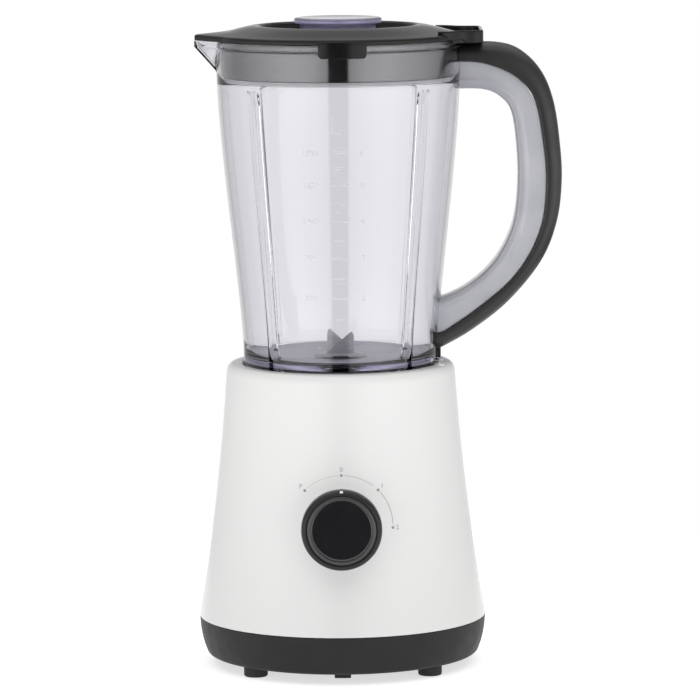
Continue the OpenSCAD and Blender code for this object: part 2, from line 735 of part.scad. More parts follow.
// Handle curves in X and Z, from the collar down to the foot of the jug
core_outer = through([[68, 356.6], [85.3, 355.4], [103.6, 347.6], [114.7, 334], [119.3, 312],
  [121.4, 286], [117.8, 258], [103.6, 232], [80.5, 211.5], [52, 192.5]], 6);
core_inner = through([[68, 341], [84, 340.7], [94, 336.8], [101.3, 327.5], [104.4, 307],
  [105, 285], [102.3, 262.6], [94.7, 245], [84, 232], [70.2, 222], [54, 215.5]], 6);
grip_outer = through([[68, 367.6], [92, 367.8], [106.5, 363.4], [119, 351], [126.3, 333], [130, 308],
  [131, 286], [128, 262], [118.7, 239], [99.2, 215.2], [77, 197.8], [58, 187.2]], 6);

module handle_core() {
  web = beside(core_inner, 3);
  color([0.85, 0.87, 0.92, 0.35]) difference() {
    side_plate(concat(core_outer, reversed(core_inner)), core_w);
    // channel behind the finger side, open towards the grip
    difference() {
      side_plate(concat(beside(core_outer, 1), reversed(web)), core_w - 5);
      for (p = [[112, 300, 0], [112, 276, 0], [95, 236, 45]])
        translate([p[0], 0, p[1]]) rotate([0, -p[2], 0]) cube([40, core_w, 2.4], center = true);
      translate([60, -20, 330]) cube([15, 40, 40]);
      translate([50, -20, 180]) cube([12, 40, 40]);
    }
    jug_solid(0.08);
  }
}

module handle_grip() {
  seat = beside(core_outer, 0.15);
  color([0.1, 0.1, 0.11]) difference() {
    union() {
      side_plate(concat(grip_outer, reversed(seat)), grip_w);
      // tail along the jug below the handle
      translate([54, -4.5, 180.4]) cube([5.2, 9, 11]);
    }
    jug_solid(0.12);
    // lower edge of the handle core
    side_plate(concat(seat, [[40, 192.5], [40, 260], [90, 300]]), core_w + 10);
  }
}

// ---------------------------------------------------------------- blade unit

module bearing_housing() {
  color("black") rotate_extrude() polygon(
    [[4.95, floor_mid_z + 0.2], [7.4, floor_mid_z + 0.2], [7.9, floor_mid_z - 0.4],
     [7.9, floor_mid_z - floor_t - 1.6], [12, floor_mid_z - floor_t - 1.6], [12, 168], [9, 167],
     [9, 163.4], [4.95, 163.4]]);
}

module bearing_nut() {
  color("silver") difference() {
    translate([0, 0, 164]) cylinder(r = 12.6, h = 2.8, $fn = 6);
    translate([0, 0, 160]) cylinder(r = 9.05, h = 12);
  }
}

module floor_seal() {
  color("gray") translate([0, 0, floor_mid_z - floor_t - 1.5]) tube(12, 8.05, 1.3);
}

module blade_bush() {
  color("goldenrod") translate([0, 0, 163.6]) tube(4.9, 3 + running, floor_mid_z - 163.6);
}

module blade_shaft() {
  color("silver") translate([0, 0, 158.4]) cylinder(r = 3, h = blade_z + 7.4 - 158.4, $fn = 48);
}

module on_blade_shaft() {
  difference() {
    children();
    translate([0, 0, 150]) cylinder(r = 3.02, h = 60, $fn = 48);
  }
}

module blade_hub() {
  color("black") on_blade_shaft() rotate_extrude() polygon(
    [[0, floor_mid_z + 0.5], [5.8, floor_mid_z + 0.5], [5.8, floor_mid_z + 1.4], [4.6, 180.4],
     [4.6, blade_z], [0, blade_z]]);
}

// Half of a plate that is bent up by tilt at mid_l from its middle, drawn in Y and Z
function bent_half(mid_l, wing_l, t, tilt) =
  let (c = cos(tilt), s = sin(tilt))
  [[-2, 0], [mid_l, 0], [mid_l + wing_l * c, wing_l * s],
   [mid_l + wing_l * c - t * s, wing_l * s + t * c], [mid_l - t * tan(tilt / 2), t], [-2, t]];

// The bent half plate, half_w to each side in X, with its wing towards +Y
module bent_plate(half_w, mid_l, wing_l, t, tilt) {
  rotate([90, 0, 90]) linear_extrude(height = 2 * half_w, center = true)
    polygon(bent_half(mid_l, wing_l, t, tilt));
}

// Two flat wings towards +X and -X, cut to blunt points
module lower_blade() {
  color("lightgray") on_blade_shaft() translate([0, 0, blade_z]) for (a = [90, 270])
    rotate([0, 0, a]) intersection() {
      bent_plate(6, 7, 8.4, blade_t, -9);
      translate([0, 0, -5]) linear_extrude(height = 10)
        polygon([[-6, -3], [6, -3], [6, 7.2], [3.4, 15.4], [-1, 15.6], [-6, 8]]);
    }
}

// Two wings bent almost upright, each cut along a slope to a tip
module upper_blade() {
  w = 7.9;
  h = 15.5;
  color("lightgray") on_blade_shaft() translate([0, 0, blade_z + blade_t + 0.05]) for (a = [0, 180])
    rotate([0, 0, a]) intersection() {
      bent_plate(w, 6, h, blade_t, 80);
      rotate([90, 0, 0]) translate([0, 0, -12]) linear_extrude(height = 16)
        polygon([[-w, -1], [w, -1], [w, 2.2], [1.6 - w, h - 0.9], [0.4 - w, h - 1.8], [-w, h - 4]]);
    }
}

module blade_nut() {
  color("silver") on_blade_shaft() translate([0, 0, blade_z + 2 * blade_t + 0.1])
    cylinder(r = 4.4, h = 3, $fn = 6);
}

module driven_coupling() {
  color("black") difference() {
    union() {
      translate([0, 0, 157.4]) cylinder(r = 14.4, h = 4.6);
      translate([0, 0, 160]) cylinder(r = 7, h = 3);
      translate([0, 0, 152]) dogs(7.6, 13.9, 6, 28, 30);
    }
    translate([0, 0, 158.4]) cylinder(r = 3.02, h = 20, $fn = 48);
  }
}

// ---------------------------------------------------------------- lid and cap

crest_z = 378.6;
skirt_z = ledge_z + 2.5;         // lower edge of the lid's skirt

module lid_shell() {
  t = 2.2;
  dome = bez3([lid_r - 0.8, lid_z + 3.5], [63, 375.2], [54, crest_z], [48, crest_z], 8);
  dome_in = reversed(bez3([66.6, lid_z + 1.2], [62, 373], [54, crest_z - t - 0.2], [47.4, crest_z - t], 8));
  rotate_extrude() polygon(concat(
    [[68.8, lid_z], [lid_r, lid_z], [lid_r, lid_z + 2.8]],
    dome,
    bez2([48, crest_z], [recess_r + 0.4, crest_z], [recess_r, crest_z - 2.6], 4),
    [[recess_r - 1, 368], [27, 367], [26.4, 373.8], [23, 373.8], [23, 362], [25.2, 362],
     [25.2, 364.8], [recess_r + 1, 365.8], [recess_r + 2.2, crest_z - t - 1.6]],
    dome_in,
    [[66.6, skirt_z], [68.8, skirt_z]]));
}

// Plan of the thumb loop over the handle, drawn in by inset
function loop_plan(inset) =
  let (e = 84.7 - inset, w = 27 - inset, c = 6 - inset)
  concat(
    [[58, -w - 10], [64, -w - 9], [71, -w - 1.6]],
    arc(e - c, -w + c, c, -90, 0, 6),
    arc(e - c, w - c, c, 0, 90, 6),
    [[71, w + 1.6], [64, w + 9], [58, w + 10]]);

module thumb_loop() {
  difference() {
    translate([0, 0, lid_z - 1.5]) linear_extrude(height = 376 - lid_z + 1.5) polygon(loop_plan(0));
    translate([0, 0, lid_z + 0.6]) linear_extrude(height = 20) polygon(loop_plan(2));
    translate([0, 0, lid_z - 2]) cylinder(r = lid_r - 0.2, h = 2);
    translate([0, 0, lid_z - 1]) cylinder(r = lid_r - 2, h = 20);
  }
}

module front_tab(turn) {
  rotate([0, 0, turn]) difference() {
    translate([0, 0, 362.8]) intersection() {
      tube(75.8, 73.1, lid_z + 2.4 - 362.8);
      linear_extrude(height = 20) polygon([[0, 0], [90, -90 * tan(10.6)], [90, 90 * tan(10.6)]]);
    }
    // finger notch under the flange
    translate([74.9, -7.5, lid_z - 1.2]) cube([4, 15, 2]);
  }
}

module lid() {
  color([0.13, 0.13, 0.14]) union() {
    lid_shell();
    // beak over the spout
    difference() {
      translate([0, 0, lid_z]) linear_extrude(height = 2.4)
        polygon([[-83.4, -3.6], [-84.2, -2], [-84.2, 2], [-83.4, 3.6], [-60, 41], [-60, -41]]);
      translate([0, 0, lid_z - 1]) cylinder(r = lid_r - 2, h = 6);
    }
    thumb_loop();
    front_tab(-90 + 2);
    front_tab(90);
  }
}

module lid_gasket() {
  color("lightgray") translate([0, 0, ledge_z + gap]) rotate_extrude() polygon(
    [[66.9, 0], [68.6, 0], [69, 0.6], [68.8, 2.1], [66.6, 2.1]]);
}

module filler_cap() {
  depth = 30;
  color([0.8, 0.8, 0.92, 0.4]) rotate_extrude() polygon(concat(
    [[0, cap_top_z - 0.6], [cap_r - 4, cap_top_z - 0.6], [cap_r - 3, cap_top_z]],
    bez2([cap_r - 0.9, cap_top_z], [cap_r, cap_top_z], [cap_r, cap_top_z - 0.9], 3),
    [[cap_r, cap_top_z - 3], [cap_r - 0.5, cap_top_z - 3.5], [neck_r, cap_top_z - 3.5],
     [neck_r, 375.4], [25, 375.4], [25, 374.1], [neck_r, 374.1],
     [neck_r - 1, cap_top_z - 3.5 - depth], [neck_r - 3, cap_top_z - 3.5 - depth],
     [neck_r - 2, cap_top_z - 3], [0, cap_top_z - 3]]));
}

motor_housing();
base_cover();
rubber_feet();
base_screws();
shaft_seal();
cord_gland();
motor_top_bracket();
motor_bottom_bracket();
upper_bearing();
lower_bearing();
stator_core();
field_coils();
stator_bolts();
motor_grommets();
motor_screws();
brush_holders();
carbon_brushes();
brush_springs();
brush_caps();
rotary_switch();
switch_screws();
interlock_bracket();
interlock_switch();
interlock_pin();
interlock_spring();
motor_shaft();
armature_core();
armature_windings();
commutator();
cooling_fan();
drive_coupling();
control_knob();
knob_face();
knob_pointer();
switch_spindle();
jug_vessel();
handle_core();
handle_grip();
bearing_housing();
bearing_nut();
floor_seal();
blade_bush();
blade_shaft();
blade_hub();
lower_blade();
upper_blade();
blade_nut();
driven_coupling();
lid();
lid_gasket();
filler_cap();
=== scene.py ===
import math

import bmesh
import bpy
from mathutils import Matrix, Vector


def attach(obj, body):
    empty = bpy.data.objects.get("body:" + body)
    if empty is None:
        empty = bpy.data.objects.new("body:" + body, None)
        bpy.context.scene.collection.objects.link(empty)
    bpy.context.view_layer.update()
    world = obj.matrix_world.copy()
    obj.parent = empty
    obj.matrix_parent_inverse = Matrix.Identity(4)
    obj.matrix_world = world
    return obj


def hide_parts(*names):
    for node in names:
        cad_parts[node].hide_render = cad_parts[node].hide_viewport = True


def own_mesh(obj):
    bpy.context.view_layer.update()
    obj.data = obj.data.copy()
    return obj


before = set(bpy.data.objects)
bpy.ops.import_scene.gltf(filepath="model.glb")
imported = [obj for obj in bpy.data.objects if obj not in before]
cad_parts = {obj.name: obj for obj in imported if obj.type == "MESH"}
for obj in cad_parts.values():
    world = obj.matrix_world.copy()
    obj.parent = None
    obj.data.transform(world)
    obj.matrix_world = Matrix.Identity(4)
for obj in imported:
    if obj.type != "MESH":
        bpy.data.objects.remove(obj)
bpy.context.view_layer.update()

MM = 0.001

# ------------------------------------ sizes in mm, as in the CAD

BASE_R, SEAM_Z = 85.0, 28.8
SHOULDER_R, RIM_Z = 67.5, 179.5
SEAT_R, SEAT_Z = 57.9, 150.0
WELL_R, WELL_Z = 18.0, 143.0
HOUSING_WALL, COVER_WALL, COVER_FLOOR, FOOT_H = 2.8, 2.6, 2.5, 6.0
KNOB_Z, KNOB_R, KNOB_FACE_Y, BOSS_Y = 92.2, 23.4, 90.5, 81.5
JUG_LOW_R, JUG_TOP_R, JUG_WALL = 57.2, 71.5, 2.6
JUG_RIM_Z, LEDGE_Z, JUG_FOOT_Z = 369.8, 346.2, 150.4
LID_Z, LID_R, CREST_Z, SKIRT_Z = 370.1, 73.4, 378.6, 348.7
CAP_R, NECK_R, CAP_TOP_Z = 25.8, 22.4, 383.0
CORE_W, GRIP_W = 22.0, 25.0
SPOUT_ROOT_Z, SPOUT_LIP_Z = 350.5, 366.5
RIB_ANGLES = (45, 135, 225, 315)
PIN_X, PIN_ANGLE, PIN_TRAVEL = 61.4, -19.5, 2.5
PIN_SPRING_Z, PIN_SPRING_L = 134.1, 6.4
WELL_ANGLES, WELL_AT = (20, 160, 200, 340), 69
FEET_X, FEET_Y = 51, 48

# not in the CAD: room left between the pressed pin and its coil, and the least angle of a drawn edge
PIN_SPRING_SLACK, SHARP = 0.2, 40

# ------------------------------------ curves


def bez2(a, b, c, n):
    """Points of a quadratic Bezier curve."""
    out = []
    for i in range(n + 1):
        t = i / n
        out.append(tuple(p * (1 - t) ** 2 + q * 2 * t * (1 - t) + r * t * t for p, q, r in zip(a, b, c)))
    return out


def bez3(a, b, c, d, n):
    """Points of a cubic Bezier curve."""
    out = []
    for i in range(n + 1):
        t = i / n
        u = 1 - t
        out.append(tuple(
            p * u ** 3 + q * 3 * u * u * t + r * 3 * u * t * t + s * t ** 3
            for p, q, r, s in zip(a, b, c, d)))
    return out


def through(points, n):
    """Catmull-Rom curve through 2-D points, n steps to a span."""
    last = len(points) - 1
    out = []
    for i in range(last):
        q = [points[max(i - 1, 0)], points[i], points[i + 1], points[min(i + 2, last)]]
        for k in range(n + 1 if i == last - 1 else n):
            t = k / n
            out.append(tuple(
                0.5 * (2 * b + (c - a) * t + (2 * a - 5 * b + 4 * c - d) * t * t
                       + (3 * b - a - 3 * c + d) * t ** 3)
                for a, b, c, d in zip(*q)))
    return out


def beside(points, distance):
    """A 2-D curve moved sideways, to the left of its direction."""
    last = len(points) - 1
    out = []
    for i, p in enumerate(points):
        t = Vector(points[min(i + 1, last)]) - Vector(points[max(i - 1, 0)])
        t.normalize()
        out.append((p[0] - distance * t.y, p[1] + distance * t.x))
    return out


def between(a, b, t):
    """The point a share t of the way from a to b."""
    return tuple(p + (q - p) * t for p, q in zip(a, b))


def straight(a, b, n):
    """Points along a straight line, in n steps."""
    return [between(a, b, i / n) for i in range(n + 1)]


def resample(points, count):
    """count points at equal distances along a 2-D polyline."""
    run = [0.0]
    for a, b in zip(points, points[1:]):
        run.append(run[-1] + math.dist(a, b))
    out, k = [], 0
    for i in range(count):
        target = run[-1] * i / (count - 1)
        while k < len(points) - 2 and run[k + 1] < target:
            k += 1
        span = run[k + 1] - run[k]
        f = (target - run[k]) / span if span else 0
        out.append(between(points[k], points[k + 1], f))
    return out


def fillet(points, steps=3):
    """A closed outline whose corners (x, y, radius) are rounded; a corner without a radius stays."""
    out = []
    n = len(points)
    for i, p in enumerate(points):
        q = Vector(p[:2])
        if len(p) < 3:
            out.append((q.x, q.y))
            continue
        a = Vector(points[i - 1][:2]) - q
        b = Vector(points[(i + 1) % n][:2]) - q
        r = min(p[2], 0.48 * a.length, 0.48 * b.length)
        a = q + a.normalized() * r
        b = q + b.normalized() * r
        out += bez2((a.x, a.y), (q.x, q.y), (b.x, b.y), steps)
    return out


def smooth(t):
    """An S-shaped step from 0 at t = 0 to 1 at t = 1."""
    t = min(max(t, 0.0), 1.0)
    return t * t * (3 - 2 * t)


def curve_at(points, z):
    """Radius at height z on a profile of (radius, height) points that rises."""
    if z <= points[0][1]:
        return points[0][0]
    for (r0, z0), (r1, z1) in zip(points, points[1:]):
        if z <= z1:
            return r0 + (r1 - r0) * (z - z0) / (z1 - z0)
    return points[-1][0]


def angle_off(angle, centre):
    """How far an angle is from centre, both in radians, the short way round."""
    return abs((angle - centre + math.pi) % (2 * math.pi) - math.pi)


def line_radius(phi, a, b):
    """Radius at which a ray at phi meets the straight line through a and b."""
    nu, nv = b[1] - a[1], a[0] - b[0]
    return (a[0] * nu + a[1] * nv) / (math.cos(phi) * nu + math.sin(phi) * nv)


# ------------------------------------ mesh building


def in_scene(name, data):
    """A new object with this data, linked into the scene."""
    obj = bpy.data.objects.new(name, data)
    bpy.context.scene.collection.objects.link(obj)
    return obj


class Shape:
    """Vertices and faces in mm, gathered from several closed shells."""

    def __init__(self):
        self.verts = []
        self.faces = []

    def add(self, verts, faces, move=None):
        base = len(self.verts)
        self.verts += [move(*v) if move else v for v in verts]
        self.faces += [tuple(base + i for i in f) for f in faces]
        return self

    def object(self, name, material, sharp=SHARP):
        mesh = bpy.data.meshes.new(name)
        mesh.from_pydata([tuple(c * MM for c in v) for v in self.verts], [], self.faces)
        bm = bmesh.new()
        bm.from_mesh(mesh)
        bmesh.ops.recalc_face_normals(bm, faces=bm.faces)
        bm.to_mesh(mesh)
        bm.free()
        mesh.shade_smooth()
        mesh.set_sharp_from_angle(angle=math.radians(sharp))
        mesh.materials.append(material)
        return in_scene(name, mesh)


def ring_angles(count, dense=()):
    """Angles in degrees round a circle, with extra ones at (centre, half width, step)."""
    angles = {round(360 * i / count, 3) for i in range(count)}
    for centre, half, step in dense:
        angles = {a for a in angles if abs((a - centre + 180) % 360 - 180) > half}
        k = int(round(half / step))
        angles |= {round((centre + i * step) % 360, 3) for i in range(-k, k + 1)}
    return sorted(angles)


def lathe(profile, angles, place=None):
    """Closed profile turned about Z. place(point, angle) gives a vertex its own position."""
    if place is None:
        def place(p, a):
            return (p[0] * math.cos(a), p[0] * math.sin(a), p[1])
    verts, rows, faces = [], [], []
    for p in profile:
        if p[0] < 1e-6:
            rows.append([len(verts)])
            verts.append(place(p, 0.0))
        else:
            rows.append(list(range(len(verts), len(verts) + len(angles))))
            verts += [place(p, math.radians(a)) for a in angles]
    n = len(angles)
    for i, row in enumerate(rows):
        nxt = rows[(i + 1) % len(rows)]
        if len(row) == 1 and len(nxt) == 1:
            continue
        for j in range(n):
            k = (j + 1) % n
            if len(row) == 1:
                faces.append((row[0], nxt[k], nxt[j]))
            elif len(nxt) == 1:
                faces.append((row[j], row[k], nxt[0]))
            else:
                faces.append((row[j], row[k], nxt[k], nxt[j]))
    return verts, faces


def loft(sections):
    """Closed shell through sections, each a closed loop with the same number of points."""
    n = len(sections[0])
    verts = [v for s in sections for v in s]
    faces = []
    for i in range(len(sections) - 1):
        for j in range(n):
            k = (j + 1) % n
            faces.append((i * n + j, i * n + k, (i + 1) * n + k, (i + 1) * n + j))
    faces.append(tuple(range(n - 1, -1, -1)))
    faces.append(tuple(range((len(sections) - 1) * n, len(sections) * n)))
    return verts, faces


def block(size, radius):
    """Rounded bar centred on X and Y, from z = 0 to size[2], with its upper and lower edges eased."""
    w, d, h = size
    e = min(radius * 0.5, h * 0.25)
    sections = []
    for z, inset in ((0, e), (e * 0.3, e * 0.3), (e, 0), (h - e, 0), (h - e * 0.3, e * 0.3), (h, e)):
        x, y, r = w / 2 - inset, d / 2 - inset, max(radius - inset, 0.05)
        outline = fillet([(-x, -y, r), (x, -y, r), (x, y, r), (-x, y, r)])
        sections.append([(px, py, z) for px, py in outline])
    return loft(sections)


def turned(angle, r=0.0, z=0.0):
    """A move that sets a shape out at radius r along an angle in degrees."""
    c, s = math.cos(math.radians(angle)), math.sin(math.radians(angle))
    return lambda x, y, h: ((x + r) * c - y * s, (x + r) * s + y * c, h + z)


def curved_plate(r_in, r_out, half_w, z_low, z_high, corner, turn, ease=0.5, stations=20):
    """Plate bent round Z, with rounded lower corners and eased edges."""
    sections = []
    for i in range(stations + 1):
        # stations crowd towards the ends, where the corners are
        s = -half_w * math.cos(math.pi * i / stations)
        over = max(abs(s) - (half_w - corner), 0.0)
        lift = corner - math.sqrt(max(corner * corner - over * over, 0.0)) if corner else 0.0
        low = min(z_low + lift, z_high - 2 * ease)
        e = ease * (0.35 if i in (0, stations) else 1.0)
        outline = fillet([(r_in, low, 0.1), (r_out, low, e), (r_out, z_high, e), (r_in, z_high, 0.1)])
        angle = math.radians(turn) + s / r_out
        sections.append([(r * math.cos(angle), r * math.sin(angle), z) for r, z in outline])
    return loft(sections)


def cut_away(obj, cutter):
    """Cuts the cutter out of a piece and removes the cutter."""
    modifier = obj.modifiers.new("cut", "BOOLEAN")
    modifier.operation = "DIFFERENCE"
    modifier.solver = "EXACT"
    modifier.object = cutter
    depsgraph = bpy.context.evaluated_depsgraph_get()
    mesh = bpy.data.meshes.new_from_object(obj.evaluated_get(depsgraph))
    obj.modifiers.clear()
    obj.data = mesh
    obj.data.set_sharp_from_angle(angle=math.radians(SHARP))
    bpy.data.objects.remove(cutter)


def dress(obj, body, slot, *nodes):
    """Rides a finished piece on its body and hides the CAD nodes it stands for; slot is not used."""
    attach(obj, body)
    if nodes:
        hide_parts(*nodes)
    return obj


# ------------------------------------ materials


# the middle stretch of a noise texture, over which a finish varies
NOISE_LOW, NOISE_HIGH = 0.3, 0.7


class Finish:
    """A procedural material: a Principled shader with noise in its colour, roughness and bump."""

    def __init__(self, name):
        self.mat = bpy.data.materials.new(name)
        self.mat.use_nodes = True
        self.nodes = self.mat.node_tree.nodes
        self.links = self.mat.node_tree.links
        self.shader = self.nodes["Principled BSDF"]
        self.coords = self.nodes.new("ShaderNodeTexCoord")

    def set(self, **values):
        for key, value in values.items():
            self.shader.inputs[key.replace("_", " ")].default_value = value
        return self

    def noise(self, scale, detail=3.0, stretch=None):
        tex = self.nodes.new("ShaderNodeTexNoise")
        tex.inputs["Scale"].default_value = scale
        tex.inputs["Detail"].default_value = detail
        if stretch:
            mapping = self.nodes.new("ShaderNodeMapping")
            mapping.inputs["Scale"].default_value = stretch
            self.links.new(self.coords.outputs["Object"], mapping.inputs["Vector"])
            self.links.new(mapping.outputs["Vector"], tex.inputs["Vector"])
        else:
            self.links.new(self.coords.outputs["Object"], tex.inputs["Vector"])
        return tex.outputs["Fac"]

    def colour(self, low, high, scale, stretch=None):
        ramp = self.nodes.new("ShaderNodeValToRGB")
        ends = ((NOISE_LOW, low), (NOISE_HIGH, high))
        for element, (position, colour) in zip(ramp.color_ramp.elements, ends):
            element.position = position
            element.color = (*colour, 1)
        self.links.new(self.noise(scale, 4.0, stretch), ramp.inputs["Fac"])
        self.links.new(ramp.outputs["Color"], self.shader.inputs["Base Color"])
        return self

    def roughness(self, low, high, scale, stretch=None):
        spread = self.nodes.new("ShaderNodeMapRange")
        spread.inputs["From Min"].default_value = NOISE_LOW
        spread.inputs["From Max"].default_value = NOISE_HIGH
        spread.inputs["To Min"].default_value = low
        spread.inputs["To Max"].default_value = high
        self.links.new(self.noise(scale, 4.0, stretch), spread.inputs["Value"])
        self.links.new(spread.outputs["Result"], self.shader.inputs["Roughness"])
        return self

    def bump(self, scale, strength, distance, detail=3.0, stretch=None):
        bump = self.nodes.new("ShaderNodeBump")
        bump.inputs["Strength"].default_value = strength
        bump.inputs["Distance"].default_value = distance
        self.links.new(self.noise(scale, detail, stretch), bump.inputs["Height"])
        if self.shader.inputs["Normal"].is_linked:
            self.links.new(self.shader.inputs["Normal"].links[0].from_socket, bump.inputs["Normal"])
        self.links.new(bump.outputs["Normal"], self.shader.inputs["Normal"])
        return self

    def absorb(self, colour, density):
        volume = self.nodes.new("ShaderNodeVolumeAbsorption")
        volume.inputs["Color"].default_value = (*colour, 1)
        volume.inputs["Density"].default_value = density
        self.links.new(volume.outputs["Volume"], self.nodes["Material Output"].inputs["Volume"])
        return self


white_shell = (Finish("white_shell").set(IOR=1.48, Specular_IOR_Level=0.5)
               .colour((0.674, 0.674, 0.674), (0.680, 0.680, 0.678), 12)
               .roughness(0.275, 0.285, 60).bump(700, 0.02, 0.00002).mat)
dark_base = (Finish("dark_base").set(IOR=1.47, Specular_IOR_Level=0.25)
             .colour((0.0150, 0.0138, 0.0138), (0.0185, 0.0172, 0.0172), 25)
             .roughness(0.46, 0.56, 120).bump(1400, 0.30, 0.00005, 5).mat)
lid_black = (Finish("lid_black").set(IOR=1.48, Specular_IOR_Level=0.22)
             .colour((0.006, 0.006, 0.0065), (0.009, 0.009, 0.009), 25)
             .roughness(0.13, 0.18, 140).bump(900, 0.06, 0.00002, 4).mat)
skirt_gloss = (Finish("skirt_gloss").set(IOR=1.6, Coat_Weight=1.0, Coat_IOR=1.6, Coat_Roughness=0.06)
               .colour((0.009, 0.009, 0.0095), (0.013, 0.013, 0.013), 25)
               .roughness(0.12, 0.16, 140).mat)
grip_grey = (Finish("grip_grey").set(IOR=1.5, Specular_IOR_Level=0.5)
             .colour((0.007, 0.0073, 0.0078), (0.011, 0.0113, 0.0118), 25)
             .roughness(0.34, 0.42, 120).bump(1300, 0.30, 0.00005, 5).mat)
knob_grey = (Finish("knob_grey").set(IOR=1.47, Specular_IOR_Level=0.35)
             .colour((0.009, 0.009, 0.010), (0.013, 0.013, 0.014), 40)
             .roughness(0.34, 0.44, 160).bump(1300, 0.18, 0.00004, 4).mat)
# a lighter copy of the knob's plastic: its colour is a painted highlight on the raised ring
knob_trim = (Finish("knob_trim").set(IOR=1.5, Specular_IOR_Level=0.6)
             .colour((0.026, 0.026, 0.028), (0.034, 0.034, 0.036), 40)
             .roughness(0.28, 0.36, 160).bump(1300, 0.15, 0.00004, 4).mat)
knob_gloss = (Finish("knob_gloss").set(IOR=1.5, Coat_Weight=0.6, Coat_Roughness=0.03)
              .colour((0.008, 0.008, 0.010), (0.011, 0.011, 0.013), 60)
              .roughness(0.07, 0.11, 200).mat)
black_plastic = (Finish("black_plastic").set(IOR=1.47)
                 .colour((0.012, 0.012, 0.012), (0.020, 0.020, 0.021), 60)
                 .roughness(0.42, 0.55, 200).bump(1200, 0.3, 0.00005, 4).mat)
black_rubber = (Finish("black_rubber").set(IOR=1.5, Specular_IOR_Level=0.35)
                .colour((0.016, 0.016, 0.016), (0.026, 0.025, 0.025), 150)
                .roughness(0.62, 0.78, 300).bump(2200, 0.45, 0.00006, 4).mat)
pale_silicone = (Finish("pale_silicone").set(IOR=1.42, Subsurface_Weight=0.1)
                 .colour((0.62, 0.62, 0.63), (0.70, 0.70, 0.71), 80)
                 .roughness(0.40, 0.5, 200).bump(900, 0.15, 0.00004).mat)
steel = (Finish("steel").set(Metallic=1.0)
         .colour((0.52, 0.52, 0.53), (0.60, 0.60, 0.60), 60)
         .roughness(0.26, 0.36, 300, (1, 1, 9)).bump(800, 0.12, 0.00003).mat)
blade_steel = (Finish("blade_steel").set(Metallic=1.0, Anisotropic=0.3)
               .colour((0.58, 0.58, 0.585), (0.70, 0.70, 0.70), 90, (1, 1, 7))
               .roughness(0.30, 0.42, 500, (9, 9, 1)).bump(1100, 0.25, 0.00003, 4, (9, 9, 1)).mat)
cast_bracket = (Finish("cast_bracket").set(Metallic=1.0)
                .colour((0.45, 0.45, 0.46), (0.56, 0.56, 0.56), 80)
                .roughness(0.45, 0.6, 200).bump(500, 0.4, 0.0001, 5).mat)
bronze = (Finish("bronze").set(Metallic=1.0)
          .colour((0.42, 0.25, 0.11), (0.52, 0.33, 0.16), 120)
          .roughness(0.32, 0.48, 300).bump(900, 0.3, 0.00005, 4).mat)
laminations = (Finish("laminations").set(Metallic=0.9)
               .colour((0.10, 0.11, 0.13), (0.24, 0.25, 0.27), 12, (1, 1, 90))
               .roughness(0.45, 0.6, 12, (1, 1, 90)).bump(12, 0.6, 0.0002, 2, (1, 1, 160)).mat)
copper_wire = (Finish("copper_wire").set(Metallic=0.85)
               .colour((0.42, 0.16, 0.06), (0.66, 0.30, 0.14), 50, (1, 1, 20))
               .roughness(0.25, 0.4, 60, (1, 1, 20)).bump(70, 0.7, 0.0003, 2, (1, 1, 25)).mat)
carbon = (Finish("carbon").set(IOR=1.6)
          .colour((0.010, 0.010, 0.010), (0.022, 0.022, 0.023), 300)
          .roughness(0.5, 0.7, 400).bump(1500, 0.4, 0.00005, 4).mat)
switch_plastic = (Finish("switch_plastic").set(IOR=1.47)
                  .colour((0.60, 0.55, 0.44), (0.68, 0.63, 0.52), 60)
                  .roughness(0.40, 0.5, 200).bump(900, 0.2, 0.00005, 4).mat)
clear_plastic = (Finish("clear_plastic").set(IOR=1.38, Transmission_Weight=1.0)
                 .set(Base_Color=(0.926, 0.924, 0.946, 1))
                 .roughness(0.012, 0.035, 40).bump(14, 0.05, 0.0004).absorb((0.33, 0.31, 0.60), 12).mat)
clear_handle = (Finish("clear_handle").set(IOR=1.40, Transmission_Weight=0.7)
                .colour((0.80, 0.81, 0.85), (0.93, 0.935, 0.96), 36)
                .roughness(0.06, 0.12, 30).bump(22, 0.16, 0.0006, 2).absorb((0.30, 0.30, 0.42), 70).mat)
clear_violet = (Finish("clear_violet").set(IOR=1.42, Transmission_Weight=0.8)
                .set(Base_Color=(0.66, 0.64, 0.79, 1))
                .roughness(0.03, 0.08, 40).bump(14, 0.05, 0.0004).absorb((0.44, 0.42, 0.70), 25).mat)
print_grey = (Finish("print_grey").set(IOR=1.45)
              .colour((0.24, 0.24, 0.25), (0.30, 0.30, 0.31), 300)
              .roughness(0.45, 0.6, 300).mat)
print_black = (Finish("print_black").set(IOR=1.45)
               .colour((0.02, 0.02, 0.02), (0.04, 0.04, 0.04), 300)
               .roughness(0.45, 0.6, 300).mat)
frosted_floor = (Finish("frosted_floor").set(IOR=1.45, Transmission_Weight=0.2)
                 .colour((0.83, 0.83, 0.93), (0.88, 0.88, 0.97), 40)
                 .roughness(0.18, 0.28, 60).bump(200, 0.1, 0.0002).mat)
raised_mark = (Finish("raised_mark").set(IOR=1.45, Transmission_Weight=0.3)
               .colour((0.74, 0.74, 0.76), (0.80, 0.80, 0.82), 300)
               .roughness(0.35, 0.5, 300).bump(900, 0.3, 0.00005).mat)

# the finish of each CAD node, by the name of its material
FINISHES = {finish.name.split(".")[0]: finish for finish in (
    white_shell, dark_base, lid_black, grip_grey, knob_grey, knob_gloss, black_plastic, black_rubber,
    pale_silicone, steel, blade_steel, cast_bracket, bronze, laminations, copper_wire, carbon,
    switch_plastic, clear_plastic, clear_violet)}

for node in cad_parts.values():
    for material_slot in node.material_slots:
        slot_name = material_slot.material.name.split(".")[0]
        material_slot.material = FINISHES[slot_name]

# ------------------------------------ motor housing

